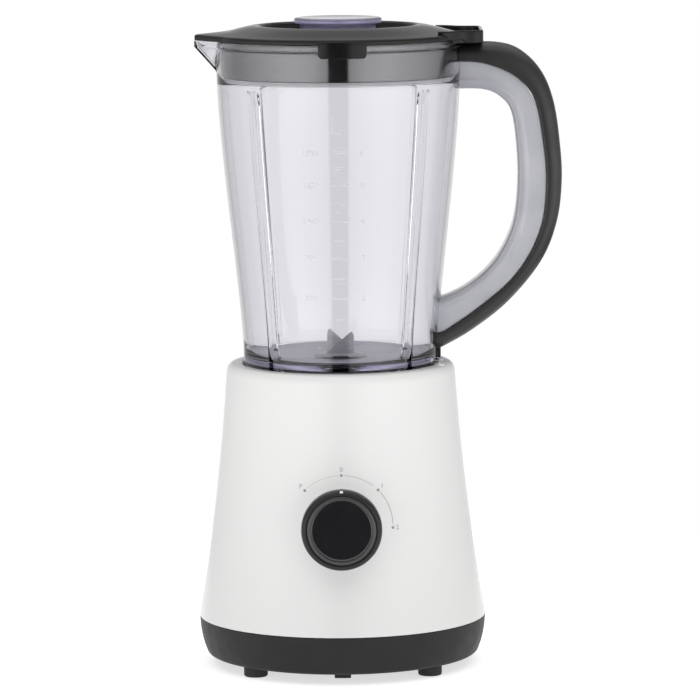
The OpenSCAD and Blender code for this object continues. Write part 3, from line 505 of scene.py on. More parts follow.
housing_side = bez2((BASE_R, SEAM_Z), (72.4, 98.9), (SHOULDER_R, 174), 48)
shoulder = bez2((SHOULDER_R, 174), (67.1, 178.8), (63.6, RIM_Z), 12)
housing_wall = housing_side + shoulder


def housing_profile():
    inner = [(r - HOUSING_WALL, z) for r, z in reversed(housing_side[2:])]
    return (
        [(BASE_R - 0.5, SEAM_Z), (BASE_R - 0.12, SEAM_Z + 0.12)] + housing_wall[1:]
        + fillet([
            (63.6, RIM_Z), (SEAT_R, RIM_Z, 1.4), (SEAT_R, SEAT_Z, 1.2), (WELL_R, SEAT_Z, 0.8),
            (WELL_R, WELL_Z, 1.0), (6.5, WELL_Z, 0.4), (6.5, WELL_Z - 2.6, 0.4),
            (WELL_R + 2.6, WELL_Z - 2.6, 1.5), (WELL_R + 2.6, SEAT_Z - 3, 1.0),
            (SEAT_R + 2.4, SEAT_Z - 3, 1.5), (SEAT_R + 2.4, RIM_Z - 2.6, 1.0), (62.5, RIM_Z - 2.8),
            (SHOULDER_R - HOUSING_WALL, 171.5)])[1:]
        + inner + [(BASE_R - HOUSING_WALL, SEAM_Z)])


# unlike the CAD's, this wall has no holes where the interlock pin and the switch spindle pass
housing = Shape().add(*lathe(housing_profile(), ring_angles(240)))


def wall_y(x, z):
    """Y of the housing's front wall at x and z."""
    return -math.sqrt(curve_at(housing_wall, z) ** 2 - x * x)


def knob_boss():
    """Round boss behind the knob, flared into the wall, with its face set in behind the rim."""
    steps = 144
    boss_r = KNOB_R - 0.3
    rings = []
    for i in range(steps):
        a = 2 * math.pi * i / steps
        c, s = math.cos(a), math.sin(a)

        def at(r, y):
            return (r * c, y, KNOB_Z + r * s)

        foot = wall_y((boss_r + 1.1) * c, KNOB_Z + (boss_r + 1.1) * s)
        rings.append(
            [at(boss_r + 1.1, foot + 0.15), at(boss_r + 0.45, foot - 0.25), at(boss_r + 0.08, foot - 1.0),
             at(boss_r, foot - 1.8), at(boss_r, -BOSS_Y + 0.7), at(boss_r - 0.25, -BOSS_Y + 0.2),
             at(boss_r - 0.8, -BOSS_Y), at(6, -BOSS_Y), at(4.2, -BOSS_Y + 0.3), at(4.2, -BOSS_Y + 3),
             at(boss_r - 2.4, -BOSS_Y + 3), at(boss_r - 2.4, -60.0), at(boss_r - 0.2, -60.0),
             at(boss_r - 0.2, foot + 2.2)])
    n = len(rings[0])
    faces = []
    for i in range(steps):
        k = (i + 1) % steps
        for j in range(n):
            m = (j + 1) % n
            faces.append((i * n + j, k * n + j, k * n + m, i * n + m))
    return [v for ring in rings for v in ring], faces


housing.add(*knob_boss())
for angle in RIB_ANGLES:
    # keys that stand in the jug's grooves
    housing.add(*block((5.0, 1.9, 21.6), 0.7), turned(angle, SEAT_R - 2.3, SEAT_Z - 0.6))
pin_sleeve = fillet([(1.6, 150, 0.1), (3.0, 150, 0.3), (3.0, 180.3, 0.8), (1.6, 180.3, 0.3)])
housing.add(*lathe([(r, max(z, 172)) for r, z in pin_sleeve], ring_angles(48)), turned(PIN_ANGLE, PIN_X))
housing = housing.object("housing_shell", white_shell)
dress(housing, "base", "white_shell", "motor_housing")


def helix(radius, wire, length, turns, sides=8):
    """A coil spring that stands on z = 0, with its wire's middle at radius."""
    sections = []
    steps = turns * 24
    for i in range(steps + 1):
        a = 2 * math.pi * turns * i / steps
        ring = []
        for k in range(sides):
            b = 2 * math.pi * k / sides
            r = radius + wire * math.cos(b)
            z = wire + (length - 2 * wire) * i / steps + wire * math.sin(b)
            ring.append((r * math.cos(a), r * math.sin(a), z))
        sections.append(ring)
    return loft(sections)


pin_spring = Shape().add(*helix(2.3, 0.3, PIN_SPRING_L, 4), turned(PIN_ANGLE, PIN_X, PIN_SPRING_Z))
pin_spring = pin_spring.object("interlock_coil", steel)
dress(pin_spring, "base", "steel", "interlock_spring")
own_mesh(pin_spring)

# ------------------------------------ base cover

cover_side = bez2((BASE_R - 0.15, SEAM_Z - 0.35), (84.4, 17), (81, 9), 20)
cover_corner = bez2((81, 9), (80.2, 6.2), (77.5, FOOT_H), 8)
cover_floor_z = FOOT_H + COVER_FLOOR
cover_inner = [(r - COVER_WALL, max(z, cover_floor_z)) for r, z in reversed(cover_side)]
cover_profile = (
    [(BASE_R - 0.7, SEAM_Z - 0.1)] + cover_side + cover_corner[1:]
    + [(60.4, FOOT_H), (59.8, FOOT_H + 0.8), (30.2, FOOT_H + 0.8), (29.6, FOOT_H), (0, FOOT_H)]
    + [(0, cover_floor_z)] + [p for p in cover_inner if p[1] > cover_floor_z or p is cover_inner[-1]])
cover = Shape().add(*lathe(cover_profile, ring_angles(240)))
cover = cover.object("base_cover_shell", dark_base)



def shifted(dx, dy):
    """A move that sets a shape out along X and Y."""
    return lambda x, y, z: (x + dx, y + dy, z)


def bore(radius):
    """A cutter for a round hole through the cover's floor."""
    return lathe([(0, 0), (radius, 0), (radius, 12), (0, 12)], ring_angles(48))


cutters = Shape()
for i in range(-4, 5):
    for side in (-1, 1):
        # two rows of vents, shorter towards the ends
        cutters.add(*block((2.4, 20 - abs(i) * 1.6, 12), 1.1), shifted(i * 6, side * 13))
for a in WELL_ANGLES:
    cutters.add(*bore(4.4), turned(a, WELL_AT))
for side_x in (-1, 1):
    for side_y in (-1, 1):
        cutters.add(*bore(3.1), shifted(side_x * FEET_X, side_y * FEET_Y))
gland_hole = lathe([(0, 0), (6, 0), (6, 12.5), (8.3, 12.5), (8.3, 20), (0, 20)], ring_angles(64))
cutters.add(*gland_hole, lambda x, y, z: (x, 70 + z, 18 - y))
cut_away(cover, cutters.object("cover_cutters", dark_base))
dress(cover, "base", "dark_base", "base_cover")

fittings = Shape()
for a in (-90, 0, 180):
    # hooks under the rim that the cord is wound behind
    fittings.add(*block((5.0, 9.6, 3.1), 0.9), turned(a, 72, 3.3))
screw_well = fillet([(2.1, 12.0, 0.1), (4.4, 12.0, 0.1), (4.4, 7.4, 0.1), (5.4, 7.4, 0.2),
                     (5.4, 14.4, 0.2), (2.1, 14.4, 0.1)])
for a in WELL_ANGLES:
    fittings.add(*lathe(screw_well, ring_angles(48)), turned(a, WELL_AT))
fittings = fittings.object("base_fittings", dark_base)
dress(fittings, "base", "dark_base")

# ------------------------------------ knob


def knob_frame(y0):
    """Lathe axis turned to point forward from distance y0, at the knob's height."""
    return lambda x, y, z: (x, -y0 - z, KNOB_Z + y)


KNOB_BACK_Y = BOSS_Y + 0.5
knob_h = KNOB_FACE_Y - KNOB_BACK_Y
knob_profile = (
    fillet([(3.05, 0), (KNOB_R, 0, 0.6), (KNOB_R, 3.0)])
    + bez2((KNOB_R, knob_h - 3.4), (KNOB_R - 0.1, knob_h - 0.3), (KNOB_R - 2.3, knob_h), 10)
    + bez2((20.9, knob_h - 0.02), (20.5, knob_h - 0.15), (20.4, knob_h - 1.2), 4)
    + [(17.75, knob_h - 1.2), (17.75, knob_h - 2.6), (3.05, knob_h - 2.6)])
knob = Shape().add(*lathe(knob_profile, ring_angles(192)), knob_frame(KNOB_BACK_Y))
knob = knob.object("knob_body", knob_grey, 30)
notch = Shape()
notch.add(*block((2.0, 3.8, 4.0), 0.2),
          lambda x, y, z: (x, y - KNOB_FACE_Y + 0.9, KNOB_Z + KNOB_R - 1.3 + z))
cut_away(knob, notch.object("notch_cutter", knob_grey))
dress(knob, "knob", "knob_grey", "control_knob")

trim_profile = (
    [(17.8, knob_h - 1.15), (20.2, knob_h - 1.15), (20.2, knob_h - 0.9)]
    + bez2((20.0, knob_h - 0.7), (18.9, knob_h + 0.15), (17.9, knob_h - 0.25), 10))
trim = Shape().add(*lathe(trim_profile, ring_angles(144)), knob_frame(KNOB_BACK_Y))
# the raised ring, in the lighter copy of the knob plastic that paints its highlight
dress(trim.object("knob_trim_ring", knob_trim), "knob", "knob_grey")

face_profile = (
    [(0, 0), (17.65, 0), (17.65, 1.8)]
    + bez2((17.62, 1.9), (17.3, 2.08), (16.0, 2.02), 6)
    + bez2((14.0, 1.96), (8, 1.86), (0, 1.82), 12))
face = Shape().add(*lathe(face_profile, ring_angles(144)), knob_frame(KNOB_FACE_Y - 2.55))
dress(face.object("knob_disc", knob_gloss), "knob", "knob_gloss", "knob_face")

# ------------------------------------ print on the housing


def on_wall(x, z, lift):
    """A point at x and z on the front wall, lift mm in front of it."""
    return (x, wall_y(x, z) - lift, z)


def print_solid(shape, outline, lift=0.06):
    """A closed flat print solid whose outline (x, z) lies on the front wall."""
    n = len(outline)
    verts = [on_wall(x, z, lift) for x, z in outline] + [on_wall(x, z, -0.03) for x, z in outline]
    faces = [tuple(range(n)), tuple(range(2 * n - 1, n - 1, -1))]
    faces += [(j, (j + 1) % n, n + (j + 1) % n, n + j) for j in range(n)]
    shape.add(verts, faces)


def dial_point(radius, angle):
    """A point on the dial; the angle runs clockwise from the top, in degrees."""
    a = math.radians(angle)
    return radius * math.sin(a), KNOB_Z + radius * math.cos(a)


DIAL_R, DOT_R = 29.7, 0.85
# each setting, its angle in degrees, and how far beyond the dial its numeral stands
SETTINGS = (("P", -45.6, 3.3), ("0", 0, 3.3), ("1", 45.6, 3.3), ("2", 92.5, 2.7))
dial = Shape()
for text, angle, gap in SETTINGS:
    cx, cz = dial_point(DIAL_R, angle)
    turns = [t * math.pi / 12 for t in range(24)]
    print_solid(dial, [(cx + DOT_R * math.cos(t), cz + DOT_R * math.sin(t)) for t in turns])


def dial_dash(start, end, width):
    """A printed arc on the dial between two angles in degrees."""
    steps = max(2, int((end - start) / 1.5))
    angles = [start + (end - start) * k / steps for k in range(steps + 1)]
    outer = [dial_point(DIAL_R + width / 2, a) for a in angles]
    inner = [dial_point(DIAL_R - width / 2, a) for a in angles]
    for k in range(steps):
        print_solid(dial, [outer[k], outer[k + 1], inner[k + 1], inner[k]])


for k in range(22):
    start = -41.0 + k * 1.72
    dial_dash(start, start + 0.75, 0.34)
for k in range(12):
    start = 4.2 + k * 2.9
    dial_dash(start, start + 2.1, 0.30)
dial_dash(49.0, 89.0, 0.30)


# a glyph's nominal height over its font size; the built-in digits come out 3 to 5 % under it
GLYPH_SHARE = 0.72


def glyph(shape, text, height, x, z, place=on_wall, lift=0.06, back=-0.03):
    """Adds a numeral or letter as thin closed solids, centred on x and z."""
    curve = bpy.data.curves.new("glyph", "FONT")
    curve.body = text
    curve.align_x = "CENTER"
    curve.align_y = "CENTER"
    curve.size = height / GLYPH_SHARE
    curve.resolution_u = 4
    curve.extrude = 0.5
    holder = in_scene("glyph", curve)
    depsgraph = bpy.context.evaluated_depsgraph_get()
    mesh = bpy.data.meshes.new_from_object(holder.evaluated_get(depsgraph))
    bpy.data.objects.remove(holder)
    bm = bmesh.new()
    bm.from_mesh(mesh)
    bmesh.ops.remove_doubles(bm, verts=bm.verts, dist=1e-4)
    bm.verts.index_update()
    verts = [place(x + v.co.x, z + v.co.y, lift if v.co.z > 0 else back) for v in bm.verts]
    faces = [tuple(v.index for v in f.verts) for f in bm.faces]
    bm.free()
    bpy.data.meshes.remove(mesh)
    shape.add(verts, faces)


for text, angle, gap in SETTINGS:
    glyph(dial, text, 2.7, *dial_point(DIAL_R + gap, angle))
dress(dial.object("dial_print", print_grey), "base", "black_plastic")

index_mark = Shape()
index_mark.add(*block((1.5, 1.0, 0.9), 0.2),
               lambda x, y, z: (x, y - BOSS_Y - 0.02 + 0.5, KNOB_Z + KNOB_R - 1.05 + z))
dress(index_mark.object("index_mark", print_black), "base", "black_plastic")

# ------------------------------------ jug

jug_side = bez3((JUG_LOW_R, 184), (JUG_LOW_R, 215), (JUG_TOP_R - 1.3, 298), (JUG_TOP_R, 350), 104)
# from RIB_SHIFT_LOW_Z up the ribs stand further out than the CAD's, by 3.6 mm at most, and then fade
RIB_SHIFT, RIB_SHIFT_LOW_Z, RIB_SHIFT_Z, RIB_TOP_Z, RIB_FADE_Z = 3.2, 170, 178, 344, 334
INNER_RIB, INNER_RIB_HALF = 1.9, 4.5
OUTER_RIB, OUTER_RIB_HALF = 1.15, 2.3


def spout_radius(angle, z):
    """Radius of the spout's outside at an angle in radians, 0 where there is none."""
    t = (z - SPOUT_ROOT_Z) / (SPOUT_LIP_Z - SPOUT_ROOT_Z)
    if t <= 0:
        return 0.0
    t = min(t, 1.0)
    phi = angle_off(angle, math.pi)
    if phi > math.radians(50):
        return 0.0
    root, tip, flank = (70.4, 2.0), (84.4, 3.0), (56.0, 33.0)
    front = between(root, tip, t)
    return min(line_radius(phi, front, between(root, flank, t)), front[0] / math.cos(phi))


def rib_bump(angle, flat, half_w):
    """1 within flat mm of the nearest rib's middle, falling to 0 at half_w mm from it."""
    off = min(angle_off(angle, math.radians(a)) for a in RIB_ANGLES) * 57
    return 1 - smooth((off - flat) / (half_w - flat))


def rib_line(low, high, z):
    """Radius of a rib's line at height z: deep in the seat, then leaning outward with the wall."""
    if z <= RIB_SHIFT_Z:
        return low + RIB_SHIFT * smooth((z - RIB_SHIFT_LOW_Z) / (RIB_SHIFT_Z - RIB_SHIFT_LOW_Z))
    low += RIB_SHIFT
    return low + (high - low) * (z - RIB_SHIFT_Z) / (RIB_TOP_Z - RIB_SHIFT_Z)


def jug_place(p, angle):
    """Sets a jug point (radius, height, kind) at an angle, pushed in at ribs and out at the spout."""
    r, z, kind = p
    x = r
    inner_bump = rib_bump(angle, INNER_RIB, INNER_RIB_HALF)
    if kind == "out":
        if z < RIB_TOP_Z:
            depth = (r - rib_line(50.8, 68.9, z)) * (1 - smooth((z - RIB_FADE_Z) / 9))
            x -= max(depth, 0) * rib_bump(angle, OUTER_RIB, OUTER_RIB_HALF)
        x = max(x, spout_radius(angle, z))
    elif kind == "wall":
        depth = (r - rib_line(48.3, 66.2, z)) * (1 - smooth((z - RIB_FADE_Z) / 11))
        x -= max(depth, 0) * inner_bump
    elif kind == "floor":
        x -= 3.2 * smooth((r - 38) / 15) * inner_bump
    elif kind == "foot":
        x -= 5.0 * inner_bump
    elif kind == "mouth" and z > SPOUT_ROOT_Z + 3:
        x = max(x, spout_radius(angle, z - 1.8) - 2.7)
    return (x * math.cos(angle), x * math.sin(angle), z)


def tag(points, kind):
    """Profile points marked with the part of the jug that they belong to."""
    return [(p[0], p[1], kind) for p in points]


def jug_profile():
    out = tag([(JUG_LOW_R - 0.7, JUG_FOOT_Z), (JUG_LOW_R - 0.2, JUG_FOOT_Z + 0.2),
               (JUG_LOW_R, JUG_FOOT_Z + 0.7)], "out")
    out += tag(straight((JUG_LOW_R, 152), (JUG_LOW_R, 183.5), 8), "out")
    out += tag(jug_side, "out")
    out += tag(straight((JUG_TOP_R, 351), (JUG_TOP_R, 365.8), 12), "out")
    out += tag([(JUG_TOP_R + 0.25, 366.2), (JUG_TOP_R + 0.8, 366.6), (JUG_TOP_R + 0.8, 367.4)], "out")
    out += tag([(JUG_TOP_R + 0.8, 369.2), (JUG_TOP_R + 0.6, 369.65), (JUG_TOP_R + 0.1, JUG_RIM_Z)], "out")
    out += tag([(JUG_TOP_R - 1.7, JUG_RIM_Z), (JUG_TOP_R - 2.1, 369.6), (JUG_TOP_R - 2.2, 369.1)], "mouth")
    out += tag(straight((JUG_TOP_R - 2.2, 367), (JUG_TOP_R - 2.25, 354), 10), "mouth")
    out += tag([(JUG_TOP_R - 2.3, 352), (JUG_TOP_R - 2.3, LEDGE_Z + 0.4), (JUG_TOP_R - 2.5, LEDGE_Z)],
               "mouth")
    out += tag([(JUG_TOP_R - 2.8, LEDGE_Z), (JUG_TOP_R - 2.95, LEDGE_Z - 0.15)], "wall")
    inner = [(r - JUG_WALL, z) for r, z in reversed(jug_side) if 191 < z < LEDGE_Z - 1]
    out += tag(inner, "wall")
    out += tag(bez2((54.6, 191), (54.6, 183.3), (48, 182.9), 10), "floor")
    out += tag(straight((44, 182.3), (16, 177.9), 8), "floor")
    out += tag([(13, 177.5), (8.6, 177.0), (8.1, 176.6), (8.0, 174.4), (8.5, 174.05), (14, 174.6)], "in")
    out += tag(straight((20, 175.5), (47, 179.75), 8), "floor")
    out += tag([(50, 179.4), (52.6, 178.2), (53.4, 176.4)], "foot")
    out += tag(straight((53.4, 174), (53.4, 151.2), 6), "foot")
    out += tag([(53.6, 150.7), (54.1, JUG_FOOT_Z)], "foot")
    return out


jug_angles = ring_angles(150, [(a, 5.1, 0.3) for a in RIB_ANGLES] + [(180, 34, 1.0), (180, 4, 0.4)])
jug = Shape().add(*lathe(jug_profile(), jug_angles, jug_place))
jug = jug.object("jug_body", clear_plastic, 50)
dress(jug, "jug", "clear_plastic", "jug_vessel")

floor_line = straight((16, 177.9), (44, 182.3), 8) + bez2((48, 182.9), (54.6, 183.3), (54.6, 191), 10)[:6]
frost_profile = tag(beside(floor_line, 0.06) + beside(floor_line, 0.34)[::-1], "floor")
frost = Shape().add(*lathe(frost_profile, jug_angles, jug_place))
dress(frost.object("jug_floor_texture", frosted_floor), "jug", "clear_plastic")

lug = Shape().add(*curved_plate(JUG_LOW_R + 0.05, 63, 3, 181.5, 183.6, 0, PIN_ANGLE, 0.4, 8))
dress(lug.object("pin_lug", clear_plastic), "jug", "clear_plastic")


def on_jug(x, z, lift):
    """A point at x and z on the front of the jug, lift mm in front of it."""
    r = curve_at(jug_side, z)
    return (x, -math.sqrt(r * r - x * x) - lift, z)


def jug_mark(shape, x, z, length, height, lift=0.22):
    """A raised graduation bar that follows the jug's curve."""
    steps = 6
    outline = [(x - length / 2 + length * k / steps, z - height / 2) for k in range(steps + 1)]
    outline += [(x + length / 2 - length * k / steps, z + height / 2) for k in range(steps + 1)]
    n = len(outline)
    verts = [on_jug(px, pz, lift) for px, pz in outline] + [on_jug(px, pz, 0.02) for px, pz in outline]
    faces = [(j, (j + 1) % n, n + (j + 1) % n, n + j) for j in range(n)]
    for k in range(steps):
        faces.append((k, k + 1, n - 2 - k, n - 1 - k))
        faces.append((2 * n - 1 - k, 2 * n - 2 - k, n + k + 1, n + k))
    shape.add(verts, faces)


marks = Shape()
# two scales: millilitres on the left, cups on the right
for z, volume, cups in ((223.3, "500", "2"), (247.0, "750", "3"), (268.3, "1000", "4"),
                        (289.3, "1250", "5"), (308.1, "1500", "6")):
    jug_mark(marks, 0, z, 11.5, 0.7)
    for text, x in ((volume, -16.7), (cups, 13.6)):
        glyph(marks, text, 3.4, x, z, on_jug, 0.12, 0.02)
for z in (210.7, 234.9, 257.3, 278.6, 298.9, 319.4):
    jug_mark(marks, 0, z, 6.7, 0.6)
for z in (232.2, 254.4, 273.6):
    jug_mark(marks, 0.6, z, 10.4, 0.4)
for z, length in ((290.7, 11.0), (300.3, 6.5), (309.5, 11.0)):
    jug_mark(marks, 0, z, length, 0.4)
jug_mark(marks, -4.0, 326.4, 0.6, 12.0)
dress(marks.object("graduation_marks", raised_mark), "jug", "clear_plastic")

# ------------------------------------ handle

core_outer = through([(68, 356.6), (85.3, 355.4), (103.6, 347.6), (114.7, 334), (119.3, 312), (121.4, 286),
                      (117.8, 258), (103.6, 232), (80.5, 211.5), (52, 192.5)], 16)
core_inner = through([(68, 341), (84, 340.7), (94, 336.8), (101.3, 327.5), (104.4, 307), (105, 285),
                      (102.3, 262.6), (94.7, 245), (84, 232), (70.2, 222), (54, 215.5)], 16)
grip_outer = through([(68, 367.6), (92, 367.8), (106.5, 363.4), (119, 351), (126.3, 333), (130, 308),
                      (131, 286), (128, 262), (118.7, 239), (99.2, 215.2), (77, 197.8), (58, 187.2)], 16)
jug_outside = [(JUG_LOW_R, 150.0)] + jug_side + [
    (JUG_TOP_R, 366), (JUG_TOP_R + 0.8, 366.8), (JUG_TOP_R + 0.8, 370)]


def outside_jug(points, clear):
    """The part of an X-Z curve that lies outside the jug."""
    return [p for p in points if p[0] > curve_at(jug_outside, p[1]) + clear]


def handle_loft(inner, outer, outline, clear):
    """Shell between two curves; outline(length) is its section, in mm outward and mm across."""
    stations = 90
    inner = resample(outside_jug(inner, clear), stations)
    outer = resample(outside_jug(outer, clear), stations)
    sections = []
    for i, (p, q) in enumerate(zip(inner, outer)):
        d = Vector(q) - Vector(p)
        length = d.length
        d.normalize()
        section = []
        for s, y in outline(length):
            x, z = p[0] + d.x * s, p[1] + d.y * s
            if i in (0, stations - 1):
                # the end stands on the jug's curved wall
                r = curve_at(jug_outside, z) + clear
                x = math.sqrt(r * r - y * y)
            section.append((x, y, z))
        sections.append(section)
    return loft(sections)


def channel(length):
    """U section: finger side closed, open towards the grip."""
    w, wall, web = CORE_W / 2, 2.5, 3.0
    top = length - 0.1
    half = [(0, w, 4.0), (5.0, w, 1.6), (6.2, w - 0.8, 1.0), (top, w - 0.8, 0.4), (top, w - wall, 0.4),
            (web, w - wall, 1.5)]
    return fillet([(s, -y, r) for s, y, r in half] + half[::-1], 5)


core = Shape().add(*handle_loft(core_inner, core_outer, channel, 0.1))
dress(core.object("handle_channel", clear_handle), "jug", "clear_plastic", "handle_core")


def grip_section(length):
    """Rounded grip: flat against the channel, domed outward."""
    w = GRIP_W / 2
    side = bez2((length * 0.25, w), (length, w), (length, w * 0.25), 10)
    return (bez2((0.1, w - 1.2), (0.1, w), (1.2, w), 3) + side
            + [(x, -y) for x, y in reversed(side)] + bez2((1.2, -w), (0.1, -w), (0.1, 1.2 - w), 3))


grip = Shape()
grip.add(*handle_loft(beside(core_outer, 0.2), grip_outer, grip_section, 0.15))
grip.add(*curved_plate(JUG_LOW_R + 0.15, 59.3, 4.5, 180.4, 189.5, 1.2, 0, 0.4, 12))
dress(grip.object("handle_grip_shell", grip_grey), "jug", "grip_grey", "handle_grip")

# ------------------------------------ lid

BEAK_TIP, BEAK_FLANK, BEAK_FRONT = (83.4, 3.6), (60.0, 41.0), 84.2


def beak_radius(angle):
    """Radius of the beak's outline over the spout, 0 elsewhere."""
    phi = angle_off(angle, math.pi)
    if phi > math.radians(42):
        return 0.0
    return min(line_radius(phi, BEAK_TIP, BEAK_FLANK), BEAK_FRONT / math.cos(phi))


def lid_place(p, angle):
    """Sets a lid point (radius, height, weight) at an angle; weight is its share of the beak."""
    r, z, weight = p
    extra = max(beak_radius(angle) - LID_R, 0.0)
    x = r + extra * weight
    return (x * math.cos(angle), x * math.sin(angle), z)


def lid_profile():
    dome = bez3((LID_R - 0.9, LID_Z + 3.35), (63, 375.2), (54, CREST_Z), (48, CREST_Z), 44)
    dome_in = bez3((66.6, LID_Z + 1.2), (62, 373), (54, CREST_Z - 2.4), (47.4, CREST_Z - 2.2), 16)
    outline = []
    for r, z in fillet([(66.6, SKIRT_Z, 0.5), (68.8, SKIRT_Z, 0.5), (68.8, LID_Z, 0.3)]):
        outline.append((r, z, 0.0))
    edge = ((-0.5, 0), (-0.1, 0.15), (0, 0.5), (0, 2.3), (-0.15, 2.75), (-0.5, 3.05))
    outline += [(LID_R + r, LID_Z + z, 1.0) for r, z in edge]
    for r, z in dome:
        outline.append((r, z, smooth((r - 63) / 10)))
    for r, z in bez2((48, CREST_Z), (45.4, CREST_Z), (45, CREST_Z - 2.6), 8)[1:]:
        outline.append((r, z, 0.0))
    well = fillet([(45, CREST_Z - 2.6), (44, 368, 1.4), (27, 367, 0.9), (26.4, 373.8, 0.7),
                   (23, 373.8, 0.7), (23, 362, 0.5), (25.2, 362, 0.5), (25.2, 364.8, 0.8),
                   (46, 365.8, 1.2), (47.4, CREST_Z - 2.2)])
    outline += [(r, z, 0.0) for r, z in well[1:-1]]
    outline += [(r, z, 0.0) for r, z in reversed(dome_in)]
    return outline


lid = Shape().add(*lathe(lid_profile(), ring_angles(220, [(180, 40, 1.0), (180, 4, 0.4)]), lid_place))


def arc_points(cx, cy, r, a0, a1, n):
    """Points of an arc round (cx, cy) between two angles in degrees."""
    angles = [math.radians(a0 + (a1 - a0) * i / n) for i in range(n + 1)]
    return [(cx + r * math.cos(a), cy + r * math.sin(a)) for a in angles]


def loop_plan(inset):
    """Plan of the thumb loop, drawn in by inset mm, from one end to the other."""
    e, w, c = 84.7 - inset, 27 - inset, 6 - inset
    return (through([(58, -w - 10), (64, -w - 9), (71, -w - 1.6), (e - c, -w)], 5)[:-1]
            + arc_points(e - c, -w + c, c, -90, 0, 8) + arc_points(e - c, w - c, c, 0, 90, 8)
            + through([(e - c, w), (71, w + 1.6), (64, w + 9), (58, w + 10)], 5)[1:])


def thumb_loop():
    """Low wall round the thumb tray over the handle."""
    plan = loop_plan(1.0)
    sections = []
    for i, p in enumerate(plan):
        t = Vector(plan[min(i + 1, len(plan) - 1)]) - Vector(plan[max(i - 1, 0)])
        t.normalize()
        out = Vector((t.y, -t.x))
        low = 368.6 if p[0] > 74 else LID_Z + 0.4
        outline = fillet([(-1, low, 0.3), (1, low, 0.6), (1, 376, 0.9), (-1, 376, 0.9)], 4)
        sections.append([(p[0] + out.x * s, p[1] + out.y * s, z) for s, z in outline])
    return loft(sections)


def tray_floor():
    """Floor of the thumb tray, between the flange and the loop."""
    plan = [p for p in loop_plan(1.2) if math.hypot(*p) > 73.6]
    plan = resample(plan, 40)
    a0, a1 = (math.atan2(plan[0][1], plan[0][0]), math.atan2(plan[-1][1], plan[-1][0]))
    sections = []
    for i, (x, y) in enumerate(plan):
        a = a0 + (a1 - a0) * i / (len(plan) - 1)
        ix, iy = 72.9 * math.cos(a), 72.9 * math.sin(a)
        sections.append([(ix, iy, 368.7), (x, y, 368.7), (x, y, 370.7), (ix, iy, 370.7)])
    return loft(sections)


lid.add(*thumb_loop())
lid.add(*tray_floor())
for turn in (-88, 90):
    lid.add(*curved_plate(73.2, 75.8, 14.0, 362.8, LID_Z + 2.4, 2.2, turn))
lid = lid.object("lid_shell", lid_black)
dress(lid, "lid", "lid_black", "lid")
skirt_profile = fillet([(68.82, SKIRT_Z + 0.3, 0.05), (69.0, SKIRT_Z + 0.3, 0.05),
                        (69.0, LID_Z - 0.3, 0.05), (68.82, LID_Z - 0.3, 0.05)])
skirt = Shape().add(*lathe(skirt_profile, ring_angles(200)))
dress(skirt.object("lid_skirt", skirt_gloss), "lid", "lid_black")

# ------------------------------------ filler cap

cap_profile = (
    [(0, CAP_TOP_Z - 0.3), (CAP_R - 8, CAP_TOP_Z - 0.22), (CAP_R - 5, CAP_TOP_Z - 0.08)]
    + bez2((CAP_R - 2.8, CAP_TOP_Z), (CAP_R, CAP_TOP_Z), (CAP_R, CAP_TOP_Z - 1.4), 6)
    + fillet([(CAP_R, CAP_TOP_Z - 2), (CAP_R, CAP_TOP_Z - 3.5, 0.6), (NECK_R, CAP_TOP_Z - 3.5, 0.6),
              (NECK_R, 375.4, 0.4), (25, 375.4, 0.4), (25, 374.1, 0.4), (NECK_R, 374.1, 0.4),
              (NECK_R - 1, 349.5, 0.5), (NECK_R - 3, 349.5, 0.5), (NECK_R - 2, CAP_TOP_Z - 3, 1.0)])
    + [(0, CAP_TOP_Z - 3)])
cap = Shape().add(*lathe(cap_profile, ring_angles(180)))
dress(cap.object("cap_body", clear_violet), "cap", "clear_violet", "filler_cap")

# ------------------------------------ floor, light, camera

FLOOR_R = 0.5
floor_mesh = bpy.data.meshes.new("studio_floor")
bm = bmesh.new()
bmesh.ops.create_circle(bm, cap_ends=True, radius=FLOOR_R, segments=128)
bm.to_mesh(floor_mesh)
bm.free()
floor_finish = Finish("studio_floor").set(Specular_IOR_Level=0.0, Roughness=0.9, Emission_Strength=0.65)
floor_finish.set(Emission_Color=(1, 1, 1, 1)).colour((0.62, 0.62, 0.62), (0.64, 0.64, 0.64), 4)
floor_mesh.materials.append(floor_finish.mat)
floor = in_scene("studio_floor", floor_mesh)


# the colour ramp holds 0 to 1, so the belt's brightness is stored divided by BELT_MAX
BELT_MAX, BELT_GAIN, SKY, UPPER_RING, FILL = 3.5, 0.75, 1.05, 0.45, 0.02


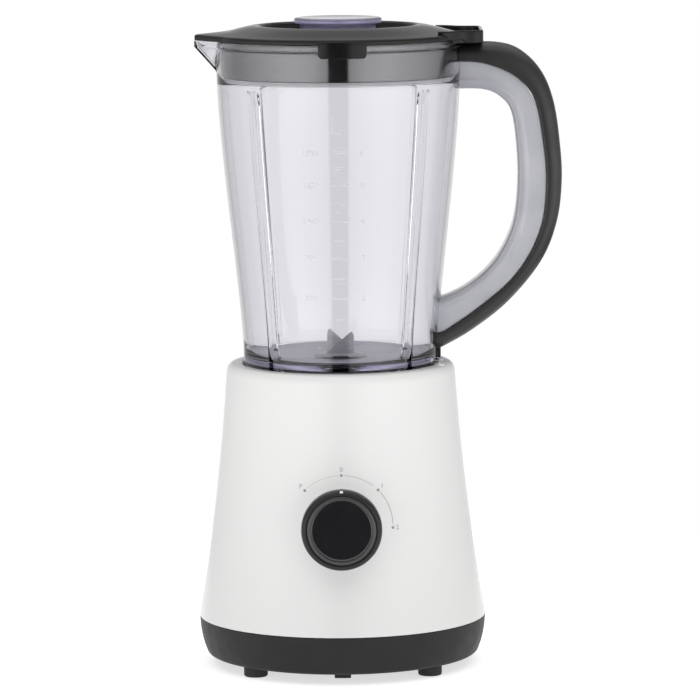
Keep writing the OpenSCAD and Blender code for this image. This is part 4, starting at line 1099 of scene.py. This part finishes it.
def studio_world():
    """White to the lens; soft boxes left and right of the camera, and a white backdrop, for the rest."""
    world = bpy.data.worlds.new("studio")
    bpy.context.scene.world = world
    world.use_nodes = True
    tree = world.node_tree
    tree.nodes.clear()
    new, link = tree.nodes.new, tree.links.new

    def math_node(operation, a, b=None, c=None):
        node = new("ShaderNodeMath")
        node.operation = operation
        for i, value in enumerate((a, b, c)):
            if value is None:
                continue
            if isinstance(value, (int, float)):
                node.inputs[i].default_value = value
            else:
                link(value, node.inputs[i])
        return node.outputs[0]

    def step(value, low, high):
        node = new("ShaderNodeMapRange")
        node.interpolation_type = "SMOOTHSTEP"
        node.inputs["From Min"].default_value = low
        node.inputs["From Max"].default_value = high
        link(value, node.inputs["Value"])
        return node.outputs["Result"]

    coords = new("ShaderNodeTexCoord")
    parts = new("ShaderNodeSeparateXYZ")
    link(coords.outputs["Generated"], parts.inputs[0])
    x, y, z = parts.outputs
    front = math_node("MULTIPLY", y, -1.0)
    azimuth = math_node("ABSOLUTE", math_node("ARCTAN2", x, front))
    # brightness of the belt round the object, by degrees from straight behind the camera
    belt = new("ShaderNodeValToRGB")
    belt_stops = ((0, 0.03), (8.5, 0.03), (11, 2.2), (28, 3.2), (50, 3.4), (85, 2.2), (112, 1.0),
                  (138, 0.66), (156, 0.76), (163, 1.10), (180, 1.10))
    ramp = belt.color_ramp
    while len(ramp.elements) < len(belt_stops):
        ramp.elements.new(0.5)
    for element, (degrees, value) in zip(ramp.elements, belt_stops):
        element.position = degrees / 180
        element.color = (*[value / BELT_MAX] * 3, 1)
    link(math_node("DIVIDE", azimuth, math.pi), belt.inputs["Fac"])
    upper = math_node("SUBTRACT", 1.0, math_node("MULTIPLY", step(z, 0.02, 0.16), 0.5))
    edges = math_node("MULTIPLY", step(z, -0.45, -0.3), math_node("SUBTRACT", 1.0, step(z, 0.28, 0.45)))
    in_belt = math_node("MULTIPLY", upper, edges)
    boxes = math_node("MULTIPLY", math_node("MULTIPLY", belt.outputs["Color"], BELT_MAX * BELT_GAIN), in_belt)
    sky = math_node("MULTIPLY", step(z, 0.60, 0.80), SKY)
    upper_ring = math_node("MULTIPLY", step(z, 0.25, 0.45), UPPER_RING)
    light = math_node("ADD", math_node("ADD", boxes, sky), math_node("ADD", upper_ring, FILL))
    path = new("ShaderNodeLightPath")
    studio = new("ShaderNodeBackground")
    studio.inputs["Color"].default_value = (1.0, 0.995, 0.99, 1)
    link(light, studio.inputs["Strength"])
    white = new("ShaderNodeBackground")
    white.inputs["Color"].default_value = (1, 1, 1, 1)
    white.inputs["Strength"].default_value = 1.0
    mix = new("ShaderNodeMixShader")
    link(path.outputs["Is Camera Ray"], mix.inputs["Fac"])
    link(studio.outputs[0], mix.inputs[1])
    link(white.outputs[0], mix.inputs[2])
    out = new("ShaderNodeOutputWorld")
    link(mix.outputs[0], out.inputs["Surface"])


studio_world()

SENSOR_MM, LENS_MM, FAR_M = 36.0, 238.8, 50.0
CAMERA_AT, CAMERA_PITCH, CAMERA_ROLL = (0.0056, -2.727, 0.521), 83.0, -0.45

camera_data = bpy.data.cameras.new("camera")
camera_data.sensor_width = SENSOR_MM
camera_data.lens = LENS_MM
camera_data.clip_end = FAR_M
camera = in_scene("camera", camera_data)
camera.matrix_world = (
    Matrix.Translation(CAMERA_AT)
    @ Matrix.Rotation(math.radians(CAMERA_PITCH), 4, "X")
    @ Matrix.Rotation(math.radians(CAMERA_ROLL), 4, "Z"))
bpy.context.scene.camera = camera
bpy.context.scene.view_settings.view_transform = "Standard"
bpy.context.scene.view_settings.look = "None"
